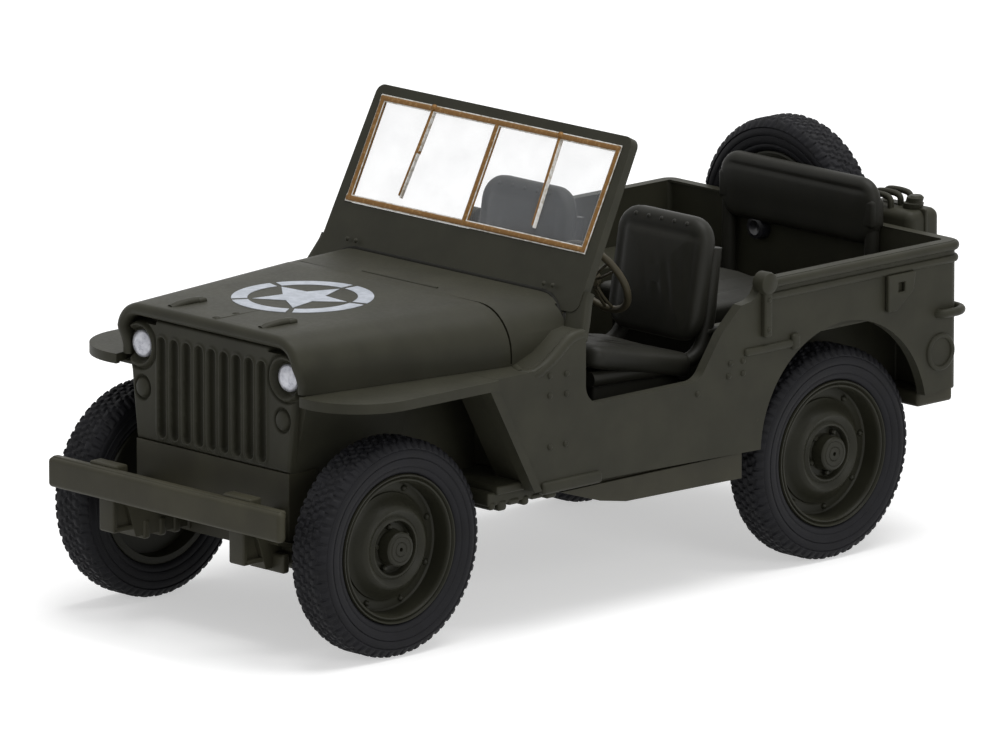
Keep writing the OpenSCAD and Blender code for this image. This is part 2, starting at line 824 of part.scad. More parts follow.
module can_carrier() {
    color(olive) in_car() {
        translate([can_x - can_w / 2, tail_y, can_z - carrier_t])
            cube([can_w, carrier_t, 6]);
        translate([can_x - can_w / 2, tail_y, can_z - carrier_t])
            cube([can_w, carrier_t + can_d, carrier_t]);
    }
}

module fuel_can() {
    color(olive) in_car() translate([can_x - can_w / 2, tail_y + carrier_t, can_z]) {
        translate([0, 0, 0]) cube([can_w, can_d, can_h]);
        translate([0.6, can_d / 2 - 0.9, can_h - 0.1]) cube([3.4, 1.8, 1.3]);
        translate([can_w - 2.2, can_d / 2 - 0.7, can_h - 0.1]) cube([1.4, 1.4, 0.7]);
    }
}

left_side();
right_side();
rear_panel();
floor_pan();
wheel_boxes();
hood();
cowl();
grille();
left_fender();
right_fender();
windscreen_frame();
windscreen_glass();
windscreen_trim();
dashboard();
steering_wheel();
gear_levers();
driver_seat();
passenger_seat();
rear_bench();
rear_backrest();
headlights();
front_bumper();
chassis_base();
leaf_springs();
grab_handles();
corner_handles();
bow_brackets();
bumperettes();
spare_peg();
spare_rim();
spare_tyre();
can_carrier();
fuel_can();
front_pin();
front_left_rim();
front_left_tyre();
front_right_rim();
front_right_tyre();
rear_pin();
rear_left_rim();
rear_left_tyre();
rear_right_rim();
rear_right_tyre();
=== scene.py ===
import math

import bmesh
import bpy
import numpy as np
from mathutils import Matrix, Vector


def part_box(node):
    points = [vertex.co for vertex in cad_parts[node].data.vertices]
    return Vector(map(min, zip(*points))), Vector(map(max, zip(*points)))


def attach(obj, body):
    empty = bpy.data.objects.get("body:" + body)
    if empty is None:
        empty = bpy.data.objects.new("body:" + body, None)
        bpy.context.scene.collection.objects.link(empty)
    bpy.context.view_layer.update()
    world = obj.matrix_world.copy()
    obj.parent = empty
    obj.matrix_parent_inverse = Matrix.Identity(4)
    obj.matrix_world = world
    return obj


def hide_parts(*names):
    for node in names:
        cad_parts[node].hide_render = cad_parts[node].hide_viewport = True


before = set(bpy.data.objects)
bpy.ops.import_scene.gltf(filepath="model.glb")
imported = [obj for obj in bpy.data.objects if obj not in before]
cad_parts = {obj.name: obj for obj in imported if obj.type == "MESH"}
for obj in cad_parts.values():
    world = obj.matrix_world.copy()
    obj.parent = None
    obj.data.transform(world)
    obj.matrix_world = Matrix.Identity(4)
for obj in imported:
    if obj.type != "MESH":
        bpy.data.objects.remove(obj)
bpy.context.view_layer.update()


# ---- The table top, the lights and the camera ----
# A plain pale table under a soft studio light: a large lamp over the car, a smaller one
# at its left side and a white room. The table keeps the car's shadow.
scene = bpy.context.scene
scene.view_settings.view_transform = "Standard"
FLOOR_GREY = 0.78
FLOOR_LIFT = 0.49
ROOM_LIGHT = 0.34


def white_to_the_eye(tree, lit, seen):
    """Link what a camera, mirror or glass ray sees to `seen` and every other ray to `lit`."""
    path = tree.nodes.new("ShaderNodeLightPath")
    either = None
    for name in ("Is Camera Ray", "Is Glossy Ray", "Is Transmission Ray"):
        if either is None:
            either = path.outputs[name]
            continue
        most = tree.nodes.new("ShaderNodeMath")
        most.operation = "MAXIMUM"
        tree.links.new(either, most.inputs[0])
        tree.links.new(path.outputs[name], most.inputs[1])
        either = most.outputs[0]
    mix = tree.nodes.new("ShaderNodeMixShader")
    tree.links.new(either, mix.inputs[0])
    tree.links.new(lit, mix.inputs[1])
    tree.links.new(seen, mix.inputs[2])
    return mix.outputs[0]


world = bpy.data.worlds.new("studio_room")
scene.world = world
world.use_nodes = True
tree = world.node_tree
tree.nodes.clear()
room = tree.nodes.new("ShaderNodeBackground")
room.inputs["Color"].default_value = (1, 1, 1, 1)
room.inputs["Strength"].default_value = ROOM_LIGHT
backdrop = tree.nodes.new("ShaderNodeBackground")
backdrop.inputs["Color"].default_value = (1, 1, 1, 1)
backdrop.inputs["Strength"].default_value = 1.0
out = tree.nodes.new("ShaderNodeOutputWorld")
tree.links.new(white_to_the_eye(tree, room.outputs[0], backdrop.outputs[0]), out.inputs["Surface"])

floor_mesh = bpy.data.meshes.new("table_top")
half = 3.0
floor_mesh.from_pydata([(-half, -half, 0), (half, -half, 0), (half, half, 0), (-half, half, 0)],
                       [], [(0, 1, 2, 3)])
floor = bpy.data.objects.new("table_top", floor_mesh)
scene.collection.objects.link(floor)
floor_paint = bpy.data.materials.new("pale_table")
floor_paint.use_nodes = True
tree = floor_paint.node_tree
tree.nodes.clear()
matt = tree.nodes.new("ShaderNodeBsdfDiffuse")
matt.inputs["Color"].default_value = (FLOOR_GREY, FLOOR_GREY, FLOOR_GREY, 1)
lift = tree.nodes.new("ShaderNodeEmission")
lift.inputs["Strength"].default_value = FLOOR_LIFT
both = tree.nodes.new("ShaderNodeAddShader")
tree.links.new(matt.outputs[0], both.inputs[0])
tree.links.new(lift.outputs[0], both.inputs[1])
out = tree.nodes.new("ShaderNodeOutputMaterial")
tree.links.new(white_to_the_eye(tree, matt.outputs[0], both.outputs[0]), out.inputs["Surface"])
floor_mesh.materials.append(floor_paint)


def studio_lamp(name, place, aim, size, watts, tint=(1, 1, 1)):
    """A square soft box at `place`, facing `aim`."""
    light = bpy.data.lights.new(name, "AREA")
    light.shape = "SQUARE"
    light.size = size
    light.energy = watts
    light.color = tint
    lamp = bpy.data.objects.new(name, light)
    scene.collection.objects.link(lamp)
    lamp.location = place
    lamp.rotation_euler = (Vector(aim) - Vector(place)).to_track_quat("-Z", "Y").to_euler()


studio_lamp("top_box", (0.08, 0.12, 0.85), (0, 0, 0.01), 0.6, 5.2)
studio_lamp("side_box", (0.85, -0.15, 0.38), (0, 0, 0.01), 0.4, 1.6)

camera = bpy.data.objects.new("camera", bpy.data.cameras.new("camera"))
scene.collection.objects.link(camera)
camera.data.sensor_width = 36
camera.data.lens = 528.7
camera.data.clip_start = 0.05
camera.data.clip_end = 20
camera.location = (0.822853, -0.783269, 0.274919)
camera.rotation_euler = Vector((-0.7069, 0.6717, -0.2224)).to_track_quat("-Z", "Y").to_euler()
scene.camera = camera


# ---- Olive lacquer on the die-cast body ----
# Zinc castings sprayed with matt olive drab. The coat is thin: it has a fine orange peel,
# slight clouds of colour, and is a little worn, with small lighter specks at random.
class Field:
    """One output of a shader node, with the usual operators as Math nodes."""

    def __init__(self, finish, socket):
        self.finish = finish
        self.socket = socket

    def _math(self, operation, a, b):
        return self.finish.node("Math", {0: a, 1: b}, operation=operation)

    def __add__(self, other):
        return self._math("ADD", self, other)

    __radd__ = __add__

    def __sub__(self, other):
        return self._math("SUBTRACT", self, other)

    def __rsub__(self, other):
        return self._math("SUBTRACT", other, self)

    def __mul__(self, other):
        return self._math("MULTIPLY", self, other)

    __rmul__ = __mul__

    def __gt__(self, other):
        return self._math("GREATER_THAN", self, other)

    def __lt__(self, other):
        return self._math("LESS_THAN", self, other)

    def clipped(self, low, high):
        """0 below `low`, 1 above `high`, and a smooth step between."""
        return self.finish.node("MapRange", {"Value": self, "From Min": low, "From Max": high},
                                interpolation_type="SMOOTHSTEP")


class Finish:
    """A material in the making."""

    def __init__(self, name):
        self.material = bpy.data.materials.new(name)
        self.material.use_nodes = True
        self.tree = self.material.node_tree
        self.tree.nodes.clear()

    def node(self, kind, sockets=None, output=0, **settings):
        """Add a node: its settings first, a ramp's stops among them, then values or links."""
        made = self.tree.nodes.new("ShaderNode" + kind)
        stops = settings.pop("stops", None)
        for key, value in settings.items():
            setattr(made, key, value)
        if stops:
            ramp = made.color_ramp.elements
            while len(ramp) < len(stops):
                ramp.new(0.5)
            for element, (place, colour) in zip(ramp, stops):
                element.position = place
                element.color = (*colour, 1)
        for key, value in (sockets or {}).items():
            if isinstance(value, Field):
                self.tree.links.new(value.socket, made.inputs[key])
            else:
                made.inputs[key].default_value = value
        return Field(self, made.outputs[output])

    def place(self):
        return self.node("TexCoord", output="Object")

    def noise(self, grain, detail=3.0, roughness=0.55, where=None):
        """Noise with blobs about `grain` millimetres across."""
        return self.node("TexNoise", {"Vector": where or self.place(), "Scale": 1000.0 / grain,
                                      "Detail": detail, "Roughness": roughness})

    def mix(self, amount, first, second):
        """Colour `first` where amount is 0 and `second` where it is 1."""
        return self.node("Mix", {0: amount, 6: first, 7: second}, output=2, data_type="RGBA")

    def surface(self, **sockets):
        """Finish with one Principled shader; underscores in names stand for spaces."""
        named = {key.replace("_", " "): value for key, value in sockets.items()}
        shader = self.node("BsdfPrincipled", named)
        self.node_out(shader)
        return self.material

    def node_out(self, shader):
        out = self.tree.nodes.new("ShaderNodeOutputMaterial")
        self.tree.links.new(shader.socket, out.inputs["Surface"])


def lacquer(name, colour, gloss=0.5, grain=1.0):
    """Thin matt paint: clouds of colour 4 mm wide, specks, and an orange peel of 0.12 mm."""
    paint = Finish(name)
    clouds = paint.noise(4.0 * grain)
    specks = paint.noise(0.35 * grain, detail=5.0)
    dark = tuple(0.86 * c for c in colour) + (1,)
    light = tuple(1.14 * c for c in colour) + (1,)
    tone = paint.mix(clouds.clipped(0.3, 0.7), dark, light)
    dusty = tuple(min(1.0, 1.5 * c + 0.004) for c in colour) + (1,)
    tone = paint.mix(specks.clipped(0.66, 0.8) * 0.5, tone, dusty)
    peel = paint.noise(0.12, detail=2.0)
    bump = paint.node("Bump", {"Height": peel + clouds * 0.4, "Strength": 0.12,
                               "Distance": 0.00002})
    return paint.surface(**{"Base_Color": tone, "Roughness": specks * 0.16 + (gloss - 0.06),
                            "Normal": bump, "Specular_IOR_Level": 0.16})


olive_paint = lacquer("olive_lacquer", (0.029, 0.0283, 0.0188))


def to_row(points):
    """Car millimetres, with stations counted back from the front axle, to row-frame metres."""
    low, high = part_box("front_pin")
    shift = np.array([0.0, (low.y + high.y) / 2, 0.0])
    return np.asarray(points, float) * 0.001 + shift


def add_piece(name, points, faces, finish, slot, stands_for=(), body="body", crisp=35.0):
    """Make one riding piece from points in car millimetres and faces; edges sharper than
    `crisp` degrees stay sharp in the shading."""
    mesh = bpy.data.meshes.new(name)
    mesh.from_pydata(to_row(points).tolist(), [], [list(map(int, f)) for f in faces])
    mesh.materials.append(finish)
    mesh.shade_smooth()
    mesh.set_sharp_from_angle(angle=math.radians(crisp))
    piece = bpy.data.objects.new(name, mesh)
    scene.collection.objects.link(piece)
    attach(piece, body)
    if stands_for:
        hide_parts(*stands_for)
    return piece


def soften(piece, width, segments=3, limit=30.0):
    """Round a piece's edges by `width` millimetres, and keep its flats flat."""
    bevel = piece.modifiers.new("rounded_edges", "BEVEL")
    bevel.width = width * 0.001
    bevel.segments = segments
    bevel.limit_method = "ANGLE"
    bevel.angle_limit = math.radians(limit)
    bevel.use_clamp_overlap = True
    flats = piece.modifiers.new("flat_flats", "WEIGHTED_NORMAL")
    flats.keep_sharp = False
    return piece


def merged_copy(node, reshape=None):
    """The node's triangles with their corners merged and their flat faces joined, as a
    bmesh; `reshape` moves the corners, given in car millimetres."""
    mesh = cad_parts[node].data
    place = np.empty(len(mesh.vertices) * 3)
    mesh.vertices.foreach_get("co", place)
    place = (place.reshape(-1, 3) - to_row((0, 0, 0))) * 1000
    if reshape:
        place = reshape(place)
    work = bmesh.new()
    work.from_mesh(mesh)
    for vertex, at in zip(work.verts, to_row(place)):
        vertex.co = at
    bmesh.ops.remove_doubles(work, verts=work.verts, dist=2e-6)
    bmesh.ops.dissolve_degenerate(work, dist=2e-6, edges=work.edges)
    bmesh.ops.dissolve_limit(work, angle_limit=math.radians(0.8), verts=work.verts,
                             edges=work.edges)
    for face in work.faces:
        face.smooth = True
    return work


def cast_piece(name, work, finish, nodes, width, segments=3, limit=30.0, body="body"):
    """A casting made from a bmesh, with its edges rounded as paint and polishing leave them."""
    mesh = bpy.data.meshes.new(name)
    work.to_mesh(mesh)
    work.free()
    mesh.materials.append(finish)
    piece = bpy.data.objects.new(name, mesh)
    scene.collection.objects.link(piece)
    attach(piece, body)
    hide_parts(*nodes)
    return soften(piece, width, segments, limit)


def cast_copy(node, finish, width, segments=3, limit=30.0, body="body"):
    """A node's own casting, with rounded edges."""
    work = merged_copy(node)
    return cast_piece(node + "_cast", work, finish, [node], width, segments, limit, body)


def slab_across(x0, x1, outline):
    """A plate between two X positions from an outline of (station, height), as a bmesh."""
    n = len(outline)
    work = bmesh.new()
    points = to_row([(x, y, z) for x in (x0, x1) for y, z in outline])
    made = [work.verts.new(p) for p in points]
    work.faces.new(made[:n])
    work.faces.new(made[n:])
    for k in range(n):
        work.faces.new((made[k], made[(k + 1) % n], made[n + (k + 1) % n], made[n + k]))
    bmesh.ops.recalc_face_normals(work, faces=work.faces)
    return work


def fused(works, operation="UNION"):
    """Join solids that touch or overlap into one, with no seam between them, or cut the
    later ones out of the first."""
    helpers = []
    for k, work in enumerate(works):
        mesh = bpy.data.meshes.new("fusing_%d" % k)
        work.to_mesh(mesh)
        work.free()
        helpers.append(bpy.data.objects.new(mesh.name, mesh))
        scene.collection.objects.link(helpers[-1])
    for other in helpers[1:]:
        join = helpers[0].modifiers.new(other.name, "BOOLEAN")
        join.operation = operation
        join.solver = "EXACT"
        join.object = other
    whole = helpers[0].evaluated_get(bpy.context.evaluated_depsgraph_get())
    work = bmesh.new()
    work.from_mesh(whole.to_mesh())
    for helper in helpers:
        bpy.data.objects.remove(helper)
    bmesh.ops.remove_doubles(work, verts=work.verts, dist=2e-6)
    bmesh.ops.dissolve_limit(work, angle_limit=math.radians(0.8), verts=work.verts,
                             edges=work.edges)
    for face in work.faces:
        face.smooth = True
    return work


def round_corners(work, inside, radius, segments=7):
    """Round the upright edges whose two ends satisfy `inside`, given car millimetres."""
    upright = []
    for edge in work.edges:
        ends = [(np.array(v.co) - to_row((0, 0, 0))) * 1000 for v in edge.verts]
        if abs(ends[0][2] - ends[1][2]) > 0.2 and all(inside(*e) for e in ends):
            upright.append(edge)
    bmesh.ops.bevel(work, geom=upright, offset=radius * 0.001, segments=segments, profile=0.5,
                    affect="EDGES", offset_type="OFFSET")
    return work


def car_box(node):
    """A node's lowest and highest corners in car millimetres."""
    low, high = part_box(node)
    zero = np.array(to_row((0, 0, 0)))
    return (np.array(low) - zero) * 1000, (np.array(high) - zero) * 1000


tub_low, tub_high = car_box("left_side")
BEAD_OUT = 0.25
side_x = tub_high[0] - BEAD_OUT
wall = side_x - tub_low[0]
tail_y = car_box("rear_panel")[1][1] - BEAD_OUT
rim_z = tub_high[2]
fender_z = car_box("left_fender")[1][2]


def without_beads(p):
    """Press the square beads flush with the panels; rolled beads take their place."""
    return np.column_stack([np.clip(p[:, 0], -side_x, side_x), np.minimum(p[:, 1], tail_y), p[:, 2]])


# The leg's strip closes each side panel against its fender, and the shelf joins the
# fender's top to the cowl's side.
LEG_STRIP = [(9.12, fender_z), (10.3, fender_z), (14.4, 11.9), (14.4, 11.3), (13.9, 11.3), (9.12, fender_z - 0.68)]
SHELF = [(9.12, fender_z - 0.6), (14.2, fender_z - 0.6), (14.2, fender_z), (9.12, fender_z)]
tub = [merged_copy(node, without_beads) for node in ("left_side", "right_side", "rear_panel")]
for side in (-1, 1):
    tub.append(slab_across(side * (side_x - wall), side * side_x, LEG_STRIP))
    tub.append(slab_across(side * 12.95, side * (side_x - 0.1), SHELF))
tub = round_corners(fused(tub), lambda x, y, z: abs(x) > side_x - 0.01 and y > tail_y - 0.01, 0.88)
tub = round_corners(tub, lambda x, y, z: side_x - wall - 0.01 < abs(x) < side_x - wall + 0.01
                    and tail_y - wall - 0.01 < y < tail_y - wall + 0.01, 0.4)
cast_piece("tub_shell", tub, olive_paint, ["left_side", "right_side", "rear_panel"], 0.33, 4)
for node, slot, width in (("floor_pan", "cabin_plastic", 0.15), ("wheel_boxes", "cabin_plastic", 0.2)):
    cast_copy(node, olive_paint, width)


# ---- Rolled beads, rivets and pressings on the tub ----
# Half-round beads rolled along the tub's rim, rivet heads in pairs, a clamp ridge and a
# round boss on each side: raised details of the casting itself.
def grid_faces(rows, columns, wrap_rows=False, wrap_columns=False):
    """Quads over a grid of points stored row by row, joined round where it wraps."""
    r = np.arange(rows if wrap_rows else rows - 1)
    c = np.arange(columns if wrap_columns else columns - 1)
    r, c = np.meshgrid(r, c, indexing="ij")
    r2, c2 = (r + 1) % rows, (c + 1) % columns
    quads = np.stack([r * columns + c, r2 * columns + c, r2 * columns + c2, r * columns + c2], -1)
    return quads.reshape(-1, 4)


def outward(points, faces):
    """Turn a closed shell's faces outwards: a shell whose signed volume, the sum of the
    triple products of its triangles, is negative is wound the wrong way."""
    p = np.asarray(points, float)
    total = 0.0
    for size in {len(f) for f in faces}:
        f = np.array([face for face in faces if len(face) == size])
        for k in range(1, size - 1):
            total += np.einsum("ij,ij->i", p[f[:, 0]], np.cross(p[f[:, k]], p[f[:, k + 1]])).sum()
    return [tuple(f[::-1]) for f in faces] if total < 0 else [tuple(f) for f in faces]


def merge(parts):
    """Join (points, faces) pairs into one pair."""
    points, faces, count = [], [], 0
    for p, f in parts:
        points.append(np.asarray(p, float).reshape(-1, 3))
        faces += [tuple(int(k) + count for k in face) for face in f]
        count += len(points[-1])
    return np.vstack(points), faces


def tube(path, profile, up=(0, 0, 1), closed=False):
    """Carry a closed profile (side, up) along a path of points: at each point the profile
    stands on the side vector (direction x up) and the up vector (side x direction)."""
    path, profile = np.asarray(path, float), np.asarray(profile, float)
    if closed:
        ahead = np.roll(path, -1, 0) - np.roll(path, 1, 0)
    else:
        ahead = np.gradient(path, axis=0)
    ahead /= np.linalg.norm(ahead, axis=1)[:, None]
    ups = np.broadcast_to(np.asarray(up, float), path.shape)
    side = np.cross(ahead, ups)
    side /= np.linalg.norm(side, axis=1)[:, None]
    lift = np.cross(side, ahead)
    points = (path[:, None] + profile[None, :, :1] * side[:, None]
              + profile[None, :, 1:] * lift[:, None]).reshape(-1, 3)
    n = len(profile)
    faces = [tuple(f) for f in grid_faces(len(path), n, wrap_rows=closed, wrap_columns=True)]
    if not closed:
        faces += [tuple(range(n)), tuple(range(len(points) - n, len(points)))[::-1]]
    return points, outward(points, faces)


def circle(radius, count=16, tall=1.0):
    """Points of an ellipse `radius` wide and `tall` times as high."""
    a = np.arange(count) * 2 * np.pi / count
    return np.stack([radius * np.cos(a), radius * tall * np.sin(a)], 1)


def soft_block(low, high, r, count=8):
    """A box with rounded edges: a unit sphere's points n are pulled apart by the sign of
    each coordinate, p = middle + sign(n) * (half - r) + r * n."""
    low, high = np.asarray(low, float), np.asarray(high, float)
    middle, half_size = (low + high) / 2, (high - low) / 2
    lat = np.concatenate([np.linspace(-np.pi / 2, -1e-4, count), np.linspace(1e-4, np.pi / 2, count)])
    lon = np.concatenate([np.linspace(q * np.pi / 2 + 1e-4, (q + 1) * np.pi / 2 - 1e-4, count)
                          for q in range(4)])
    lat, lon = np.meshgrid(lat, lon, indexing="ij")
    n = np.stack([np.cos(lat) * np.cos(lon), np.cos(lat) * np.sin(lon), np.sin(lat)], -1)
    points = middle + np.sign(np.round(n, 9)) * (half_size - r) + r * n
    rows, columns = lat.shape
    faces = [tuple(f) for f in grid_faces(rows, columns, wrap_columns=True)]
    faces += [tuple(range(columns))[::-1], tuple(range((rows - 1) * columns, rows * columns))]
    return points.reshape(-1, 3), outward(points.reshape(-1, 3), faces)


def dome(centre, axis, radius, height, count=14, rings=5):
    """A rivet's head: rings of radius cos(t) and height sin(t), closed at the top."""
    axis = np.asarray(axis, float) / np.linalg.norm(axis)
    side = np.cross(axis, (0.3, 0.5, 0.81))
    side /= np.linalg.norm(side)
    other = np.cross(axis, side)
    t = np.linspace(0, np.pi / 2, rings)[:-1]
    a = np.arange(count) * 2 * np.pi / count
    ring = np.cos(a)[:, None] * side + np.sin(a)[:, None] * other
    points = (np.asarray(centre, float) - 0.08 * axis * height + radius * np.cos(t)[:, None, None] * ring
              + height * np.sin(t)[:, None, None] * axis).reshape(-1, 3)
    faces = [tuple(f) for f in grid_faces(rings - 1, count, wrap_columns=True)]
    points = np.vstack([points, np.asarray(centre, float) + axis * height])
    top = (rings - 2) * count
    faces += [(top + k, top + (k + 1) % count, len(points) - 1) for k in range(count)]
    faces += [tuple(range(count))[::-1]]
    return points, outward(points, faces)


def smooth_path(points, steps=8):
    """A Catmull-Rom curve through the points: each span blends its four nearest points."""
    p = np.asarray(points, float)
    p = np.vstack([2 * p[0] - p[1], p, 2 * p[-1] - p[-2]])
    t = np.linspace(0, 1, steps, endpoint=False)[:, None]
    spans = [0.5 * (2 * b + (c - a) * t + (2 * a - 5 * b + 4 * c - d) * t ** 2
                    + (3 * b - a - 3 * c + d) * t ** 3)
             for a, b, c, d in zip(p[:-3], p[1:-2], p[2:-1], p[3:])]
    return np.vstack(spans + [p[-2:-1]])


def mirrored(part):
    """The same piece on the car's other side."""
    points, faces = part
    return points * (-1, 1, 1), [f[::-1] for f in faces]


def around_tail(z, start_y, out):
    """The tub's rim from the door round both rear corners, `out` proud of the panels."""
    x, y, r = side_x + out, tail_y + out, 0.85
    a = np.linspace(0, np.pi / 2, 9)
    side = np.stack([np.full(12, x), np.linspace(start_y, y - r, 12)], 1)
    bend = np.stack([x - r + r * np.cos(a), y - r + r * np.sin(a)], 1)[1:]
    tail = np.stack([np.linspace(x - r, 0, 14)[1:], np.full(13, y)], 1)
    half_path = np.vstack([side, bend, tail])
    whole = np.vstack([half_path, half_path[-2::-1] * (-1, 1)])
    return np.column_stack([whole, np.full(len(whole), z)])


bead_profile = circle(0.36, 14, tall=1.1)
side_rivets = [(14.9, 20.3), (16.7, 20.2), (14.9, 18.7), (16.7, 18.6), (14.9, 14.6), (16.6, 14.6),
               (34.4, 17.2), (36.0, 17.2), (34.6, 18.2), (36.0, 18.2), (31.0, 16.3)]
trim = [tube(around_tail(rim_z - 0.42, 38.6, 0.0), bead_profile),
        tube(around_tail(rim_z - 1.45, 38.9, 0.0), bead_profile * 0.8)]
for turn in (lambda part: part, mirrored):
    for y, z in side_rivets:
        trim.append(turn(dome((side_x, y, z), (1, 0, 0), 0.26, 0.2)))
    trim.append(turn(soft_block((side_x - 0.3, 36.1, 18.5), (side_x + 0.32, 42.0, 19.15), 0.28)))
    trim.append(turn(soft_block((side_x - 0.3, 41.2, 18.3), (side_x + 0.4, 42.1, 19.6), 0.28)))
    a = np.linspace(0, 2 * np.pi, 40, endpoint=False)
    ring = np.column_stack([np.full(40, side_x), 58.1 + 1.35 * np.cos(a), 15.5 + 1.35 * np.sin(a)])
    trim.append(turn(tube(ring, circle(0.22, 10), up=(1, 0, 0), closed=True)))
    ledge = soft_block((side_x - 0.5, 13.9, 10.9), (side_x + 0.35, 20.4, 11.9), 0.33)
    trim.append(turn(ledge))
    fold = smooth_path([(14.2, 13.5, 20.6), (side_x - 0.9, 12.75, 20.5), (side_x - 0.36, 13.7, 20.6), (side_x - 0.33, 15.3, 21.4),
                        (side_x - 0.33, 17.2, 22.75), (side_x - 0.36, 18.3, 23.0), (side_x - 0.4, 18.75, 22.9)], 6)
    trim.append(turn(tube(fold, circle(0.46, 16), up=(1, 0, 0))))
add_piece("tub_beads_and_rivets", *merge(trim), olive_paint, "olive_paint")


# ---- Hood with its latches, hinge line and star ----
# One pressed cover: a flat top with shoulders whose radius grows towards the cowl, and a
# rolled front edge. The star in a broken ring is a printed marking, a hair above the paint.
hood_low, hood_high = car_box("hood")
HOOD_FRONT, HOOD_REAR = hood_low[1], hood_high[1]
HOOD_TOP = 25.3
SEAM_Y = 13.3


def smooth_step(v, low, high):
    t = np.clip((v - low) / (high - low), 0, 1)
    return t * t * (3 - 2 * t)


def hood_section(y, inset, count=10):
    """Outline across the hood at station y, drawn `inset` inside the outer face: up one
    side, round a shoulder, across the top, and down again."""
    t = (y - HOOD_FRONT) / (HOOD_REAR - HOOD_FRONT)
    half_w = 10.5 + 3.3 * t - inset
    top = HOOD_TOP + 0.1 * t - inset
    r = max(2.4 + 1.2 * t - inset, 0.3)
    a = np.linspace(0, np.pi / 2, count)
    z0 = hood_low[2] + 0.02
    x = np.concatenate([[half_w, half_w, half_w], half_w - r + r * np.cos(a), np.linspace(half_w - r, 0, 8)[1:]])
    z = np.concatenate([np.linspace(z0, top - r, 4)[:3], top - r + r * np.sin(a), np.full(7, top)])
    z += 0.12 * np.clip(1 - (x / half_w) ** 2, 0, 1) * (z > top - 1e-6) * (1 if inset < 0.5 else 0)
    half_line = np.stack([x, np.full_like(x, y), z], 1)
    return np.vstack([half_line, half_line[-2::-1] * (-1, 1, 1)])


def hood_shell():
    """Stations from the rolled front edge to the seam; at each, the outer outline and the
    inner one make a ring. Both insets meet in the middle of the wall at the two ends."""
    roll = np.linspace(0, np.pi / 2, 7)
    rows = [(HOOD_FRONT + 0.5 - 0.5 * np.cos(a), 0.5 - 0.5 * np.sin(a), 0.5 + 0.45 * np.sin(a)) for a in roll]
    rows += [(y, 0.0, 0.95) for y in np.linspace(HOOD_FRONT + 1.0, SEAM_Y - 0.2, 16)]
    rows += [(SEAM_Y - 0.06, 0.05, 0.9), (SEAM_Y - 0.01, 0.2, 0.75), (SEAM_Y - 0.01, 0.47, 0.48)]
    rings = [np.vstack([hood_section(y, a), hood_section(y, b)[::-1]]) for y, a, b in rows]
    points = np.array(rings)
    fade = np.clip(1 - (points[..., 1] - HOOD_FRONT) / 2.5, 0, 1)
    points[..., 1] += 0.7 * fade * smooth_step(HOOD_TOP - points[..., 2], 1.9, 3.8)
    faces = [tuple(f) for f in grid_faces(len(rings), points.shape[1], wrap_columns=True)]
    n = points.shape[1]
    faces += [tuple(range(n)), tuple(range((len(rings) - 1) * n, len(rings) * n))[::-1]]
    return points.reshape(-1, 3), outward(points.reshape(-1, 3), faces)


hood = add_piece("hood_cover", *hood_shell(), olive_paint, "olive_paint", ["hood"], crisp=50)

on_hood = []
for x in (-5.2, 5.2):
    pull = smooth_path([(x - 0.1, -5.1, HOOD_TOP - 0.08), (x, -4.3, HOOD_TOP + 0.12), (x + 0.05, -3.0, HOOD_TOP + 0.2),
                        (x + 0.15, -2.0, HOOD_TOP + 0.14)], 6)
    on_hood.append(tube(pull, circle(0.42, 14, tall=0.75)))
    on_hood.append(soft_block((x - 0.5, -2.7, HOOD_TOP - 0.1), (x + 0.62, -1.75, HOOD_TOP + 0.42), 0.24))
    on_hood.append(dome((x + 0.2, -3.5, HOOD_TOP + 0.35), (0, 0, 1), 0.2, 0.1))
on_hood.append(soft_block((0.5, -5.8, HOOD_TOP - 0.1), (0.7, 0.0, HOOD_TOP + 0.17), 0.09))
for y in (-5.3, -3.2):
    on_hood.append(dome((0.2, y, HOOD_TOP + 0.1), (0, 0, 1), 0.36, 0.16))
add_piece("hood_latches", *merge(on_hood), olive_paint, "olive_paint")

star_paint = Finish("star_print")
worn = star_paint.noise(0.7, detail=5.0)
star_white = star_paint.surface(**{
    "Base_Color": star_paint.mix(worn.clipped(0.35, 0.7), (0.38, 0.41, 0.46, 1), (0.51, 0.54, 0.60, 1)),
    "Roughness": worn * 0.2 + 0.4,
    "Normal": star_paint.node("Bump", {"Height": worn, "Strength": 0.1, "Distance": 0.00002})})


def hood_top(x, y):
    """Height of the hood's flat top under a point."""
    t = (y - HOOD_FRONT) / (HOOD_REAR - HOOD_FRONT)
    return HOOD_TOP + 0.1 * t + 0.12 * (1 - (x / (10.5 + 3.3 * t)) ** 2)


def print_on_hood(outline, thick=0.035):
    """A flat closed outline laid on the hood as a film, with its own upright edge."""
    outline = np.asarray(outline, float)
    n = len(outline)
    z = hood_top(outline[:, 0], outline[:, 1])
    top = np.column_stack([outline, z + thick])
    under = np.column_stack([outline, z - 0.03])
    faces = [(k, (k + 1) % n, n + (k + 1) % n, n + k) for k in range(n)]
    return np.vstack([top, under]), faces + [tuple(range(n))[::-1], tuple(range(n, 2 * n))]


STAR_X, STAR_Y = -0.42, 4.42
STAR_TIP, STAR_WAIST = 3.95, 1.78
RING_IN, RING_OUT = 4.33, 5.6


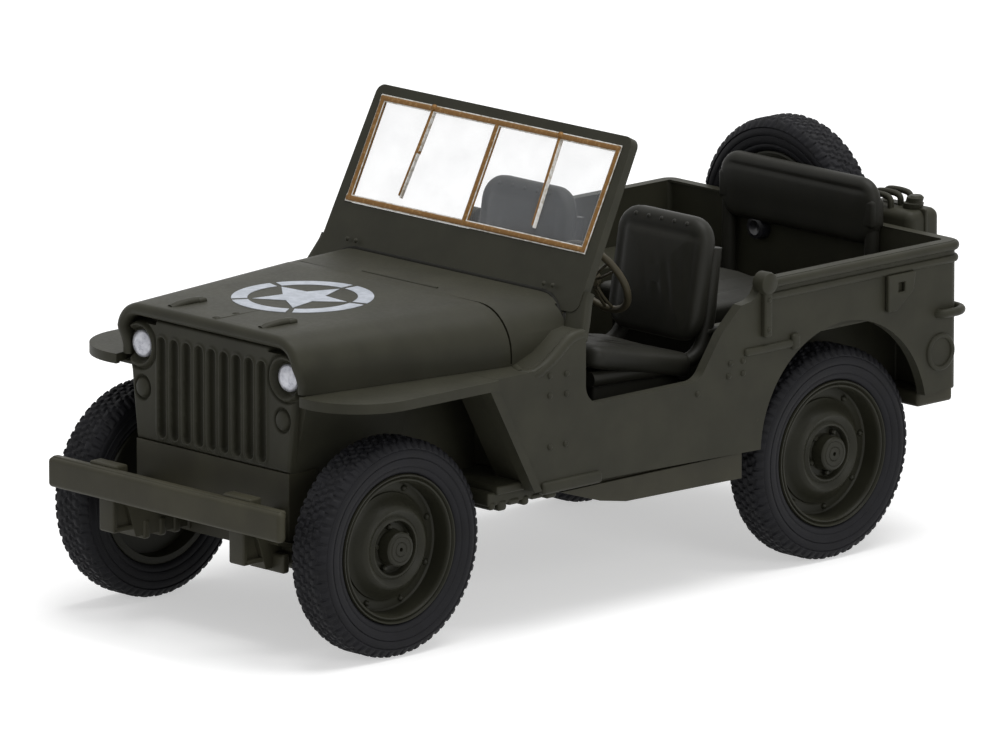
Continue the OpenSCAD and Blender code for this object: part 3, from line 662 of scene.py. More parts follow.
def star_prints():
    """Five kites of the star round its middle, and five arcs of the ring between its tips."""
    middle = np.array([STAR_X, STAR_Y])

    def spot(radius, angle):
        return middle + radius * np.array([math.cos(angle), math.sin(angle)])

    parts = []
    fifth = 2 * math.pi / 5
    for k in range(5):
        tip = math.pi / 2 + k * fifth
        parts.append(print_on_hood([middle, spot(STAR_WAIST, tip - fifth / 2), spot(STAR_TIP, tip),
                                    spot(STAR_WAIST, tip + fifth / 2)]))
        angles = np.linspace(tip + 0.05, tip + fifth - 0.05, 20)
        for a0, a1 in zip(angles[:-1], angles[1:]):
            parts.append(print_on_hood([spot(RING_IN, a0), spot(RING_OUT, a0),
                                        spot(RING_OUT, a1), spot(RING_IN, a1)]))
    return merge(parts)


add_piece("hood_star", *star_prints(), star_white, None)


# ---- Cowl, dashboard and the front of the body ----
# The cowl carries the windscreen. Seams, hinge rivets and the vent lip are pressed in it.
under_hood = [(HOOD_REAR - 1, fender_z + 0.1), (SEAM_Y + 0.12, fender_z + 0.1), (SEAM_Y + 0.12, 27), (HOOD_REAR - 1, 27)]
cowl = fused([merged_copy("cowl"), slab_across(-13.95, 13.95, under_hood)], "DIFFERENCE")
cast_piece("cowl_cast", cowl, olive_paint, ["cowl"], 0.2)
cowl_low, cowl_high = car_box("cowl")
VENT_Y = 14.45
on_cowl = [tube([(x, VENT_Y, cowl_high[2] - 0.02) for x in np.linspace(-4.3, 4.3, 12)], circle(0.12, 8))]
add_piece("cowl_vent_lip", *merge(on_cowl), olive_paint, "olive_paint")
cast_copy("dashboard", olive_paint, 0.15)


# ---- Fenders ----
# Flat pressings with a turned-down outer edge and a sloping leg that ends at the sill.
LEG_INNER_X = 12.6
for node, side in (("left_fender", 1), ("right_fender", -1)):
    inside_leg = [(7.0, 10.0), (15.0, 10.0), (15.0, fender_z - 0.72), (7.0, fender_z - 0.72)]
    pressing = fused([merged_copy(node), slab_across(side * 8.0, side * LEG_INNER_X, inside_leg)], "DIFFERENCE")
    cast_piece(node + "_pressing", pressing, olive_paint, [node], 0.36, 5)
LUMPS = ((9.6, 10.3, 10.1), (10.55, 11.5, 9.9), (11.65, 12.9, 10.2), (13.2, 13.9, 9.95), (14.1, 15.5, 10.25),
         (15.75, 16.9, 10.05))
wing = []
for turn in (lambda part: part, mirrored):
    wing.append(turn(tube([(0, y, 0) for y in (-4.9, 0, 6.1)], [
        (8.0, 10.6), (8.7, 10.6), (8.72, 14.4), (10.15, 20.3), (9.3, 20.3), (8.0, 14.4)])))
    wing.append(turn(soft_block((8.2, 6.0, 10.6), (9.1, 14.2, fender_z - 0.75), 0.12)))
    wing.append(turn(soft_block((8.7, -5.0, fender_z - 0.95), (13.6, 9.6, fender_z - 0.6), 0.12)))
    wing.append(turn(soft_block((9.0, 10.2, 11.3), (15.6, 14.6, 12.0), 0.15)))
    wing.append(turn(soft_block((12.6, 9.5, 10.4), (15.3, 17.2, 11.5), 0.2)))
    for start, end, low in LUMPS:
        wing.append(turn(soft_block((12.4, start, low), (15.4, end, 10.8), 0.28)))
add_piece("inner_wings", *merge(wing), olive_paint, "olive_paint")


# ---- Grille and headlights ----
# One pressing: nine fluted slots with round tops between ribs, two bowls for the
# headlights, two parking lamps, and a dark air slot above each headlight.
grille_low, grille_high = car_box("grille")
lamp_low, lamp_high = car_box("headlights")
NOSE_Y, GRILLE_Z0, GRILLE_Z1 = grille_low[1], grille_low[2], grille_high[2]
LAMP_Z = (lamp_low[2] + lamp_high[2]) / 2
LAMP_R = (lamp_high[2] - lamp_low[2]) / 2
LAMP_X = lamp_high[0] - LAMP_R


def grille_depth(x, z):
    """How far the face is pressed back at (x, z): round-bottomed flutes, a bowl of
    r^2 shape round each headlight with a raised lip, and a domed parking lamp in a groove."""
    pitch, half_slot = 1.44, 0.46
    index = np.clip(np.round(x / pitch), -4, 4)
    dx = (x - index * pitch) / half_slot
    over = np.clip(z - (GRILLE_Z1 - 1.75), 0, None) / half_slot
    under = np.clip(15.35 - z, 0, None) / half_slot
    r = np.sqrt(dx ** 2 + over ** 2 + under ** 2)
    depth = 0.62 * np.sqrt(np.clip(1 - np.clip(r, 0, 1) ** 2.6, 0, 1))
    rib = np.exp(-((r - 1.25) / 0.28) ** 2) * (np.abs(x) < 6.6)
    depth -= 0.1 * rib
    for side in (-1, 1):
        d = np.hypot(x - side * LAMP_X, z - LAMP_Z) / LAMP_R
        depth += 0.62 * (1 - smooth_step(d, 1.0, 1.42))
        depth -= 0.16 * np.exp(-((d - 1.48) / 0.13) ** 2)
        depth += 0.2 * np.exp(-((d - 1.76) / 0.09) ** 2)
        e = np.hypot((x - side * 8.05) / 0.88, z - 18.55)
        depth += 0.26 * np.exp(-((e - 0.9) / 0.12) ** 2)
        depth -= 0.22 * np.sqrt(np.clip(1 - (e / 0.82) ** 2, 0, 1))
        slot = np.maximum(np.abs(x - side * 8.0 + side * 0.2) / 1.25, np.abs(z - (LAMP_Z + 2.02)) / 0.17)
        depth += 0.85 * (1 - smooth_step(slot, 0.9, 1.1))
    return depth


def grille_face(columns=330, rows=200):
    """A grid over the grille's outline: x is a share of the half width at each height. Its
    border rolls back to a flat rear face."""
    z = np.linspace(GRILLE_Z0, GRILLE_Z1, rows)
    width = np.interp(z, [GRILLE_Z0, LAMP_Z - 1.6, GRILLE_Z1 - 0.8, GRILLE_Z1],
                      [8.8, grille_high[0], grille_high[0], grille_high[0] - 1.2])
    u = np.linspace(-1, 1, columns)
    x = u[None, :] * width[:, None]
    z = np.repeat(z[:, None], columns, 1)
    edge = np.minimum(np.minimum(width[:, None] - np.abs(x), z - GRILLE_Z0), GRILLE_Z1 - z)
    roll = 0.3 - np.sqrt(np.clip(0.09 - (0.3 - np.clip(edge, 0, 0.3)) ** 2, 0, None))
    y = NOSE_Y + grille_depth(x, z) + roll
    front = np.stack([x, y, z], -1)
    points = front.reshape(-1, 3)
    faces = [tuple(f) for f in grid_faces(rows, columns)]
    border = np.concatenate([np.arange(columns), np.arange(1, rows) * columns + columns - 1,
                             (rows - 1) * columns + np.arange(columns - 2, -1, -1),
                             np.arange(rows - 2, 0, -1) * columns])
    back = points[border].copy()
    back[:, 1] = NOSE_Y + 1.2
    n, count = len(border), len(points)
    faces += [(border[k], border[(k + 1) % n], count + (k + 1) % n, count + k) for k in range(n)]
    faces.append(tuple(range(count + n - 1, count - 1, -1)))
    points = np.vstack([points, back])
    return points, outward(points, faces)


add_piece("grille_pressing", *grille_face(), olive_paint, "olive_paint", ["grille"], crisp=60)

pearl = Finish("lamp_pearl")
swirl = pearl.noise(0.5, detail=4.0)
lamp_pearl = pearl.surface(**{
    "Base_Color": pearl.mix(swirl.clipped(0.3, 0.7), (0.42, 0.43, 0.48, 1), (0.66, 0.67, 0.72, 1)),
    "Metallic": 0.35, "Roughness": swirl * 0.15 + 0.22,
    "Normal": pearl.node("Bump", {"Height": swirl, "Strength": 0.15, "Distance": 0.00003})})


def lathe(profile, count, centre, axis=(0, -1, 0)):
    """Turn a profile of (radius, height) about an axis; a radius of 0 at an end closes it."""
    axis = np.asarray(axis, float)
    side = np.cross(axis, (0, 0, 1.0)) if abs(axis[2]) < 0.9 else np.array([1.0, 0, 0])
    other = np.cross(axis, side)
    a = np.arange(count) * 2 * np.pi / count
    ring = np.cos(a)[:, None] * side + np.sin(a)[:, None] * other
    profile = np.asarray(profile, float)
    radius = np.maximum(profile[:, 0], 1e-3)
    points = (np.asarray(centre, float) + radius[:, None, None] * ring
              + profile[:, 1][:, None, None] * axis).reshape(-1, 3)
    rows = len(profile)
    faces = [tuple(f) for f in grid_faces(rows, count, wrap_columns=True)]
    faces += [tuple(range(count))[::-1], tuple(range((rows - 1) * count, rows * count))]
    return points, outward(points, faces)


t = np.linspace(0, np.pi / 2, 9)
lens = np.vstack([[0, -0.5], [LAMP_R, -0.5], np.stack([LAMP_R * np.cos(t), 0.05 + 0.42 * np.sin(t)], 1)])
add_piece("headlight_lenses", *merge([
    lathe(lens, 48, (side * LAMP_X, NOSE_Y + 0.42, LAMP_Z)) for side in (-1, 1)]),
    lamp_pearl, "lamp_lens", ["headlights"])
bezel = [(LAMP_R + 0.01, -0.4), (LAMP_R + 0.3, -0.4), (LAMP_R + 0.26, -0.12), (LAMP_R + 0.12, -0.02), (LAMP_R + 0.02, -0.08)]


def ring_lathe(profile, count, centre, axis=(0, -1, 0)):
    """As lathe(), but the profile is a closed loop, so the piece is a ring."""
    points, _ = lathe(profile, count, centre, axis)
    faces = [tuple(f) for f in grid_faces(len(profile), count, wrap_rows=True, wrap_columns=True)]
    return points, outward(points, faces)


add_piece("headlight_bezels", *merge([
    ring_lathe(bezel, 48, (side * LAMP_X, NOSE_Y + 0.38, LAMP_Z)) for side in (-1, 1)]),
    olive_paint, "olive_paint")


# ---- Windscreen: frame, clear sheet and gilt bars ----
# The frame is a casting that leans back on the cowl. The clear sheet sits in it, with its
# inner frame and posts printed in gold brown. Pale grey strips that show along the bars'
# edges are painted highlights.
cast_copy("windscreen_frame", olive_paint, 0.28, segments=4)

# The sheet's pale grey base colour, shown at its low alpha, lifts whatever lies behind it: painted reflection of the
# white room, with some real haze. The noise clouds both.
sheet_finish = Finish("clear_sheet")
haze_and_painted_reflection = sheet_finish.noise(2.5, detail=3.0)
clear_sheet = sheet_finish.surface(**{
    "Base_Color": (0.44, 0.46, 0.49, 1), "Roughness": haze_and_painted_reflection * 0.1 + 0.12,
    "Alpha": haze_and_painted_reflection.clipped(0.2, 0.9) * 0.06 + 0.13,
    "Normal": sheet_finish.node("Bump", {"Height": haze_and_painted_reflection, "Strength": 0.05, "Distance": 0.00003})})
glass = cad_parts["windscreen_glass"]
glass.data.materials.clear()
glass.data.materials.append(clear_sheet)

gilt_finish = Finish("gilt_print")
flecks = gilt_finish.noise(0.28, detail=5.0)
gilt = gilt_finish.surface(**{
    "Base_Color": gilt_finish.mix(flecks.clipped(0.5, 0.75), (0.20, 0.098, 0.024, 1), (0.34, 0.20, 0.075, 1)),
    "Metallic": 0.3, "Roughness": flecks * 0.3 + 0.25, "Specular_IOR_Level": 0.25,
    "Normal": gilt_finish.node("Bump", {"Height": flecks, "Strength": 0.5, "Distance": 0.00004})})
# Pale grey, partly metallic strips along the gilt bars' edges: painted highlights.
highlight_edge_finish = Finish("painted_highlight_edge")
flecks = highlight_edge_finish.noise(0.4, detail=4.0)
painted_highlight_edge = highlight_edge_finish.surface(**{
    "Base_Color": highlight_edge_finish.mix(flecks.clipped(0.35, 0.6), (0.42, 0.38, 0.31, 1), (0.68, 0.67, 0.64, 1)),
    "Metallic": 0.4, "Roughness": flecks * 0.25 + 0.25,
    "Normal": highlight_edge_finish.node("Bump", {"Height": flecks, "Strength": 0.3, "Distance": 0.00003})})
trim_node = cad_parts["windscreen_trim"]
corners = np.array([v.co for v in trim_node.data.vertices], float)
corners = (corners - to_row((0, 0, 0))) * 1000
LEAN = math.radians(26.9)
up_screen = np.array([0.0, math.sin(LEAN), math.cos(LEAN)])
off_screen = np.array([0.0, -math.cos(LEAN), math.sin(LEAN)])
along = corners @ up_screen
out_of = corners @ off_screen
trim_low, trim_high = along.min(), along.max()
trim_face = out_of.max()
trim_x0, trim_x1 = corners[:, 0].min(), corners[:, 0].max()


def on_screen(x, up, out):
    """A point on the leaning windscreen: x across, `up` along it and `out` from the bars' face."""
    return np.array([x, 0, 0]) + up * up_screen + (trim_face + out) * off_screen


def screen_bar(x0, up0, x1, up1, width, thick, sink=0.3):
    """A bar with a low arched face between two points of the windscreen."""
    start, end = on_screen(x0, up0, 0), on_screen(x1, up1, 0)
    a = np.linspace(0, np.pi, 9)
    arch = np.stack([width / 2 * np.cos(a), thick * np.sin(a) ** 0.7], 1)
    profile = np.vstack([arch, [(-width / 2, -sink), (width / 2, -sink)]])
    path = start + np.linspace(0, 1, 6)[:, None] * (end - start)
    return tube(path, profile, up=off_screen)


MIDDLE_POST = trim_x0 + 13.55
WIPERS = ((trim_x0 + 6.15, trim_x0 + 5.75), (trim_x0 + 20.65, trim_x0 + 21.05))
# The highlight strips lie just under the gilt bars and show at their edges as painted highlights; on the wiper posts
# they show on one side only.
highlight_strips, gold = [], []
for x in (trim_x0 + 0.3, MIDDLE_POST, trim_x1 - 0.3):
    highlight_strips.append(screen_bar(x, trim_low, x, trim_high, 0.56, 0.03, sink=0.04))
    gold.append(screen_bar(x, trim_low + 0.1, x, trim_high - 0.1, 0.42, 0.12))
for up in (trim_low + 0.3, trim_high - 0.3):
    highlight_strips.append(screen_bar(trim_x0, up, trim_x1, up, 0.6, 0.03, sink=0.04))
    gold.append(screen_bar(trim_x0 + 0.1, up, trim_x1 - 0.1, up, 0.44, 0.12))
span = trim_high - trim_low
for top_x, low_x in WIPERS:
    low_up = trim_low + 0.13 * span
    lean = low_x - top_x
    highlight_strips.append(screen_bar(top_x + 0.1, trim_high - 0.4, low_x + 0.1, low_up, 0.13, 0.07, sink=0.25))
    gold.append(screen_bar(top_x - 0.08, trim_high - 0.4, low_x - 0.08, low_up + 0.15, 0.16, 0.1, sink=0.2))
    gold.append(screen_bar(top_x, trim_high - 0.2, top_x + 0.45 * lean, trim_high - 0.45 * span, 0.3, 0.14))
    gold.append(dome(on_screen(top_x, trim_high - 0.25, 0.02), off_screen, 0.32, 0.28))
add_piece("screen_painted_highlight_edges", *merge(highlight_strips), painted_highlight_edge, "gilt_trim")
add_piece("screen_gilt_bars", *merge(gold), gilt, "gilt_trim", ["windscreen_trim"])
apron_rivets = [dome(on_screen(side * 11.3 + dx, trim_low - 3.0, 0.25), off_screen, 0.2, 0.15)
                for side in (-1, 1) for dx in (-0.5, 0.5)]
add_piece("screen_rivets", *merge(apron_rivets), olive_paint, "olive_paint")
frame_corners = (np.array([v.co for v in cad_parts["windscreen_frame"].data.vertices], float)
                 - to_row((0, 0, 0))) * 1000
apron_face = (frame_corners @ off_screen).max()
# A near-black strip along the windscreen's foot, where it meets the cowl: painted shade for the crease there.
a = np.linspace(math.radians(62), 0, 9)
shade_strip_x = np.concatenate([10.5 + 3.6 * np.sin(a), np.linspace(10.5, -10.5, 12)[1:-1], -10.5 - 3.6 * np.sin(a[::-1])])
shade_strip_z = cowl_high[2] - 3.6 + 3.6 * np.concatenate([np.cos(a), np.ones(10), np.cos(a[::-1])])
shade_strip_y = (shade_strip_z * math.sin(LEAN) - apron_face) / math.cos(LEAN)
foot_shade_strip = tube(np.stack([shade_strip_x, shade_strip_y, shade_strip_z], 1), circle(0.2, 10), up=off_screen)
foot_low = (frame_corners[np.abs(frame_corners[:, 0]) > 13] @ up_screen).min()
a = np.linspace(0, 2 * np.pi, 32, endpoint=False)
bracket = np.stack([1.1 * np.sign(np.cos(a)) * np.abs(np.cos(a)) ** 0.4,
                    0.48 * np.sign(np.sin(a)) * np.abs(np.sin(a)) ** 0.4], 1)
run = [np.array([x, 0, 0]) + up * up_screen + (apron_face - 0.55) * off_screen
       for x, up in ((14.3, foot_low + 1.8), (14.4, foot_low + 1.0), (14.9, foot_low - 0.6), (15.25, 28.4))]
feet = tube(smooth_path(run, 5), bracket, up=off_screen)
add_piece("screen_hinge_feet", *merge([feet, mirrored(feet)]), olive_paint, "olive_paint")
# The strip's near-black lacquer is painted shade.
add_piece("screen_foot_painted_shade", *foot_shade_strip, lacquer("foot_painted_shade", (0.008, 0.0078, 0.0055), gloss=0.7), "cabin_plastic")


# ---- Front seats ----
# Hard mouldings of a padded seat on a bent tube frame: a crowned back whose cover folds
# over the top and is held by five tacks, a cushion with pleats, and the tube at each side.
cabin_plastic = lacquer("cabin_moulding", (0.0165, 0.0162, 0.0125), gloss=0.46)


def round_rectangle(width, height, radius, inset, corner=8, straight=7):
    """A rectangle round the origin with rounded corners, `inset` inside its own edge."""
    w, h = width / 2 - inset, height / 2 - inset
    r = min(max(radius - inset, 0.03), w * 0.98, h * 0.98)
    a = np.linspace(0, np.pi / 2, corner)
    points = []
    for k, (sx, sy) in enumerate(((1, 1), (-1, 1), (-1, -1), (1, -1))):
        turned = a + k * np.pi / 2
        points.append(np.stack([sx * (w - r) + r * np.cos(turned), sy * (h - r) + r * np.sin(turned)], 1))
        here, there = points[-1][-1], None
        nx, ny = ((-1, 1), (-1, -1), (1, -1), (1, 1))[k]
        first = np.array([nx * (w - r), ny * (h - r)]) + r * np.array(
            [math.cos((k + 1) * math.pi / 2), math.sin((k + 1) * math.pi / 2)])
        steps = np.linspace(0, 1, straight + 2)[1:-1, None]
        points.append(here + steps * (first - here))
    return np.vstack(points)


def pad(width, height, radius, profile, place, dent=None):
    """Rings of a rounded rectangle, each `inset` inside the edge and `rise` above the base,
    from the middle of the face round the edge to the back; `dent` presses the rings in."""
    rings = []
    for inset, rise in profile:
        flat = round_rectangle(width, height, radius, inset)
        lift = np.full(len(flat), float(rise))
        if dent is not None:
            lift = lift - dent(flat[:, 0], flat[:, 1], rise)
        rings.append(np.column_stack([flat, lift]))
    rings = np.array(rings)
    n = rings.shape[1]
    faces = [tuple(f) for f in grid_faces(len(rings), n, wrap_columns=True)]
    faces += [tuple(range(n))[::-1], tuple(range((len(rings) - 1) * n, len(rings) * n))]
    points = place(rings.reshape(-1, 3))
    return points, outward(points, faces)


def crowned(width, thick, roll, crown):
    """A pad's profile: a crown towards the middle, a rolled edge and a flat back."""
    half_size = width / 2
    insets = np.linspace(half_size * 0.97, roll, 16)
    rows = [(i, thick + crown * (1 - (1 - i / half_size) ** 2.5)) for i in insets]
    for a in np.linspace(0, np.pi / 2, 6)[1:]:
        edge_rise = rows[15][1]
        rows.append((roll * (1 - math.sin(a)), edge_rise - roll * (1 - math.cos(a))))
    rows += [(0.0, 0.5 * roll), (0.15 * roll, 0.2 * roll), (0.5 * roll, 0.0), (roll, 0.0)]
    return rows


seat_low, seat_high = car_box("driver_seat")
SEAT_W = seat_high[0] - seat_low[0]
SEAT_X = (seat_high[0] + seat_low[0]) / 2
BACK_LEAN = math.atan2(1.7, 9.5)
CUSHION_DROP = math.atan2(2.4, 10.8)


def seat_back_dent(a, b, rise):
    """Slanting wrinkles on the lower outer half, and the sewn line under the top fold."""
    front = np.clip((rise - 1.2) / 0.6, 0, 1)
    slant = a * 0.96 + b * 0.28
    wrinkle = 0.09 * np.sin(slant * 5.2) * np.exp(-((a - 1.6) / 1.9) ** 2 - ((b + 1.2) / 2.6) ** 2)
    seam = 0.2 * np.exp(-((b - 3.5) / 0.28) ** 2)
    side = 0.16 * np.exp(-((np.abs(a) - 3.9) / 0.3) ** 2) * (b < 3.4)
    return front * (wrinkle + seam + side)


def place_back(p):
    """Local across, up the back and out of its face, to the car."""
    up = np.array([0.0, math.sin(BACK_LEAN), math.cos(BACK_LEAN)])
    out_ = np.array([0.0, -math.cos(BACK_LEAN), math.sin(BACK_LEAN)])
    middle = np.array([SEAT_X, seat_high[1] - 1.05, 23.9])
    return middle + p[:, :1] * (1, 0, 0) + p[:, 1:2] * up + p[:, 2:] * out_


def cushion_dent(a, b, rise):
    """Pleats that run back from the front edge."""
    top = np.clip((rise - 1.3) / 0.8, 0, 1)
    pleats = 0.14 * np.exp(-((np.mod(a + 1.3, 2.6) - 1.3) / 0.34) ** 2) * np.exp(-((b + 1.5) / 4.5) ** 2)
    return top * (pleats + 0.05 * np.sin(b * 1.7 + a * 0.6))


def place_cushion(p):
    """Local across, back along the cushion and out of its top, to the car."""
    along_ = np.array([0.0, math.cos(CUSHION_DROP), -math.sin(CUSHION_DROP)])
    out_ = np.array([0.0, math.sin(CUSHION_DROP), math.cos(CUSHION_DROP)])
    middle = np.array([SEAT_X, (seat_low[1] + 33.9) / 2, 17.8])
    return middle + p[:, :1] * (1, 0, 0) + p[:, 1:2] * along_ + p[:, 2:] * out_


def front_seat():
    """Back, cushion, tacks, side tubes and the box under the cushion."""
    back = [(i, r * 1.0) for i, r in crowned(8.8, 1.35, 0.75, 0.35)]
    parts = [pad(SEAT_W, 9.9, 2.1, back, place_back, seat_back_dent),
             pad(SEAT_W + 0.6, 11.4, 1.2, crowned(8.8, 1.75, 0.8, 0.25), place_cushion, cushion_dent)]
    for k in range(5):
        parts.append(dome(place_back(np.array([[(k - 2) * 1.45, 4.35, 1.42]]))[0],
                          (0, -0.6, 0.8), 0.22, 0.16))
    for side in (-1, 1):
        x = SEAT_X + side * (SEAT_W / 2 - 0.55)
        path = smooth_path([(x, 23.2, 18.0), (x, 28.0, 17.8), (x, 32.9, 17.7), (x, 35.2, 18.5),
                            (x, 36.1, 20.6), (x, 36.45, 23.2), (x, 36.9, 26.6)], 7)
        parts.append(tube(path, circle(0.62, 14), up=(1, 0, 0)))
        parts.append(soft_block((x - 0.68, 35.6, 19.6), (x + 0.68, 37.1, 20.3), 0.3))
    parts.append(soft_block((SEAT_X - SEAT_W / 2 + 0.9, 24.0, 13.05),
                            (SEAT_X + SEAT_W / 2 - 0.9, 33.4, 18.3), 0.3))
    return merge(parts)


seat = front_seat()
add_piece("driver_seat_moulding", *seat, cabin_plastic, "cabin_plastic", ["driver_seat"], crisp=40)
add_piece("passenger_seat_moulding", *mirrored(seat), cabin_plastic, "cabin_plastic",
          ["passenger_seat"], crisp=40)


# ---- Steering wheel and levers ----
# A thin rim on three double spokes, on a column that leaves through the dashboard, in a
# slightly browner moulding; two levers with round knobs beside the tunnel.
rim_plastic = lacquer("steering_moulding", (0.052, 0.045, 0.028), gloss=0.42)
STEER_TILT = math.radians(30)
steer_axis = np.array([0.0, math.cos(STEER_TILT), math.sin(STEER_TILT)])
steer_down = np.array([0.0, math.sin(STEER_TILT), -math.cos(STEER_TILT)])
steer_low, steer_high = car_box("steering_wheel")
STEER_R = (steer_high[0] - steer_low[0]) / 2 - 0.32
steer_middle = np.array([(steer_low[0] + steer_high[0]) / 2, 28.2, 24.8])


def steer_point(radius, angle, height=0.0):
    """A point of the wheel: angle 0 to the car's left, 90 degrees down the wheel."""
    return (steer_middle + radius * math.cos(angle) * np.array([1, 0, 0])
            + radius * math.sin(angle) * steer_down + height * steer_axis)


a = np.linspace(0, 2 * np.pi, 72, endpoint=False)
parts = [tube([steer_point(STEER_R, v) for v in a], circle(0.3, 14), up=steer_axis, closed=True)]
for k in range(3):
    angle = math.pi / 2 + k * 2 * math.pi / 3
    for turn in (-0.1, 0.1):
        ends = [steer_point(0.5, angle + turn * 3, -0.35), steer_point(1.8, angle + turn * 1.6, -0.3),
                steer_point(STEER_R - 0.1, angle + turn * 1.3)]
        parts.append(tube(smooth_path(ends, 5), circle(0.13, 8), up=steer_axis))
hub = [(0, 0.35), (0.35, 0.33), (0.6, 0.15), (0.75, -0.1), (0.8, -0.5), (0.42, -0.75), (0.3, -1.2),
       (0.3, -10.4), (0, -10.4)]
parts.append(lathe(hub, 32, steer_middle, steer_axis))
add_piece("steering_wheel_and_column", *merge(parts), rim_plastic, "cabin_plastic", ["steering_wheel"])
lever_low, lever_high = car_box("gear_levers")
parts = []
for x, y, length in ((0.6, 20.4, 6.4), (-0.8, 21.2, 4.6)):
    foot = np.array([x, y, lever_low[2]])
    lean = np.array([0.0, math.sin(math.radians(14)), math.cos(math.radians(14))])
    parts.append(tube([foot + lean * h for h in np.linspace(0, length, 5)], circle(0.2, 10), up=(1, 0, 0)))
    t = np.linspace(-np.pi / 2 + 0.3, np.pi / 2, 10)
    parts.append(lathe(np.stack([0.45 * np.cos(t), length + 0.45 * np.sin(t)], 1), 20, foot, lean))
add_piece("levers", *merge(parts), cabin_plastic, "cabin_plastic", ["gear_levers"])


# ---- Rear bench and backrest ----
# The bench is a padded plank with sewn lines, and the backrest a padded bar on two posts
# whose cover folds over the top and wraps the posts.
bench_low, bench_high = car_box("rear_bench")


def bench_dent(a, b, rise):
    """Three sewn lines along the car, and the crease across the front third."""
    top = np.clip((rise - 1.2) / 0.6, 0, 1)
    lines = sum(0.16 * np.exp(-((a - x) / 0.16) ** 2) for x in (-3.3, 0.0, 3.3))
    return top * (lines + 0.12 * np.exp(-((b + 2.2) / 0.22) ** 2))


def place_bench(p):
    middle = (bench_low + bench_high) / 2
    middle[2] = bench_high[2] - 2.2
    return middle + p


bench_profile = [(i, r) for i, r in crowned(11.0, 1.95, 0.55, 0.2)]
bench_w, bench_len = bench_high[0] - bench_low[0], bench_high[1] - bench_low[1]
bench = [pad(bench_w, bench_len, 0.9, bench_profile, place_bench, bench_dent),
         soft_block((bench_low[0] + 0.8, bench_low[1] + 1, bench_low[2] + 0.02),
                    (bench_high[0] - 0.8, bench_high[1] - 1, bench_high[2] - 2.0), 0.3)]
add_piece("rear_bench_moulding", *merge(bench), cabin_plastic, "cabin_plastic", ["rear_bench"])

rest_low, rest_high = car_box("rear_backrest")
REST_H = 5.4


def rest_dent(a, b, rise):
    """The sewn line under the folded top, and a slack hollow along the middle."""
    front = np.clip((rise - 1.0) / 0.5, 0, 1)
    return front * (0.2 * np.exp(-((b - 1.75) / 0.22) ** 2) + 0.08 * np.exp(-((b + 1.0) / 0.9) ** 2))


def place_rest(p):
    middle = np.array([0.0, rest_high[1] - 0.72, rest_high[2] - REST_H / 2])
    return middle + p[:, :1] * (1, 0, 0) + p[:, 1:2] * (0, 0, 1) - p[:, 2:] * (0, 1, 0)


rest = [pad(rest_high[0] - rest_low[0], REST_H, 1.9, crowned(5.0, 1.1, 0.7, 0.22), place_rest, rest_dent)]
for side in (-1, 1):
    x = side * (rest_high[0] - 0.72)
    post = smooth_path([(x, rest_high[1] - 1.3, bench_low[2] + 0.05), (x, rest_high[1] - 1.35, 20.0),
                        (x, rest_high[1] - 1.2, 25.6)], 6)
    rest.append(tube(post, circle(0.6, 14), up=(1, 0, 0)))
    rest.append(soft_block((x - 0.68, rest_high[1] - 1.95, 24.2), (x + 0.68, rest_high[1] - 0.45, 26.6), 0.35))
add_piece("rear_backrest_moulding", *merge(rest), cabin_plastic, "cabin_plastic", ["rear_backrest"])


# ---- Front bumper and chassis ----
# The bumper is a rounded channel with two tow plates behind its top edge. The base is one
# dark moulding, with the rails, springs, axle boxes and stand holes.
base_plastic = lacquer("base_moulding", (0.037, 0.035, 0.023), gloss=0.45)
for node, width in (("chassis_base", 0.18), ("bumperettes", 0.3)):
    cast_copy(node, base_plastic, width)
bumper_low, bumper_high = car_box("front_bumper")
nose_y = bumper_low[1]
bumper = [soft_block(bumper_low, (bumper_high[0], nose_y + 0.85, bumper_high[2] - 0.1), 0.36),
          soft_block((bumper_low[0] + 0.2, nose_y + 0.25, bumper_high[2] - 0.7),
                     (bumper_high[0] - 0.2, nose_y + 1.0, bumper_high[2]), 0.2)]
for side in (-1, 1):
    x = 7.7 * side
    bumper.append(soft_block((x - 1.6, nose_y + 0.75, bumper_high[2] - 0.5),
                             (x + 1.6, nose_y + 2.0, bumper_high[2] + 0.22), 0.18))
    bumper.append(soft_block((x - 0.9, nose_y + 0.6, bumper_low[2] + 0.3),
                             (x + 0.9, nose_y + 1.7, bumper_high[2] - 0.3), 0.2))
# The bumper wears the body's olive lacquer painted lighter: a painted highlight for the light on its front face.
bumper_lit_paint = lacquer("bumper_lacquer_painted_light", (0.041, 0.0385, 0.0245))
add_piece("front_bumper_bar", *merge(bumper), bumper_lit_paint, "olive_paint", ["front_bumper"])


def spring_leaf(x0, x1, middle_y, reach, drop):
    """A bowed strip: its height rises with the square of the distance from the axle."""
    y = np.linspace(-reach, reach, 17)
    z = spring_low[2] + 0.35 + drop + y ** 2 / 48
    half_w = (x1 - x0) / 2
    path = np.column_stack([np.full(17, (x0 + x1) / 2), middle_y + y, z])
    profile = np.array([(-half_w, -0.14), (half_w, -0.14), (half_w, 0.14), (-half_w, 0.14)])
    return tube(path, profile, up=(0, 0, 1))


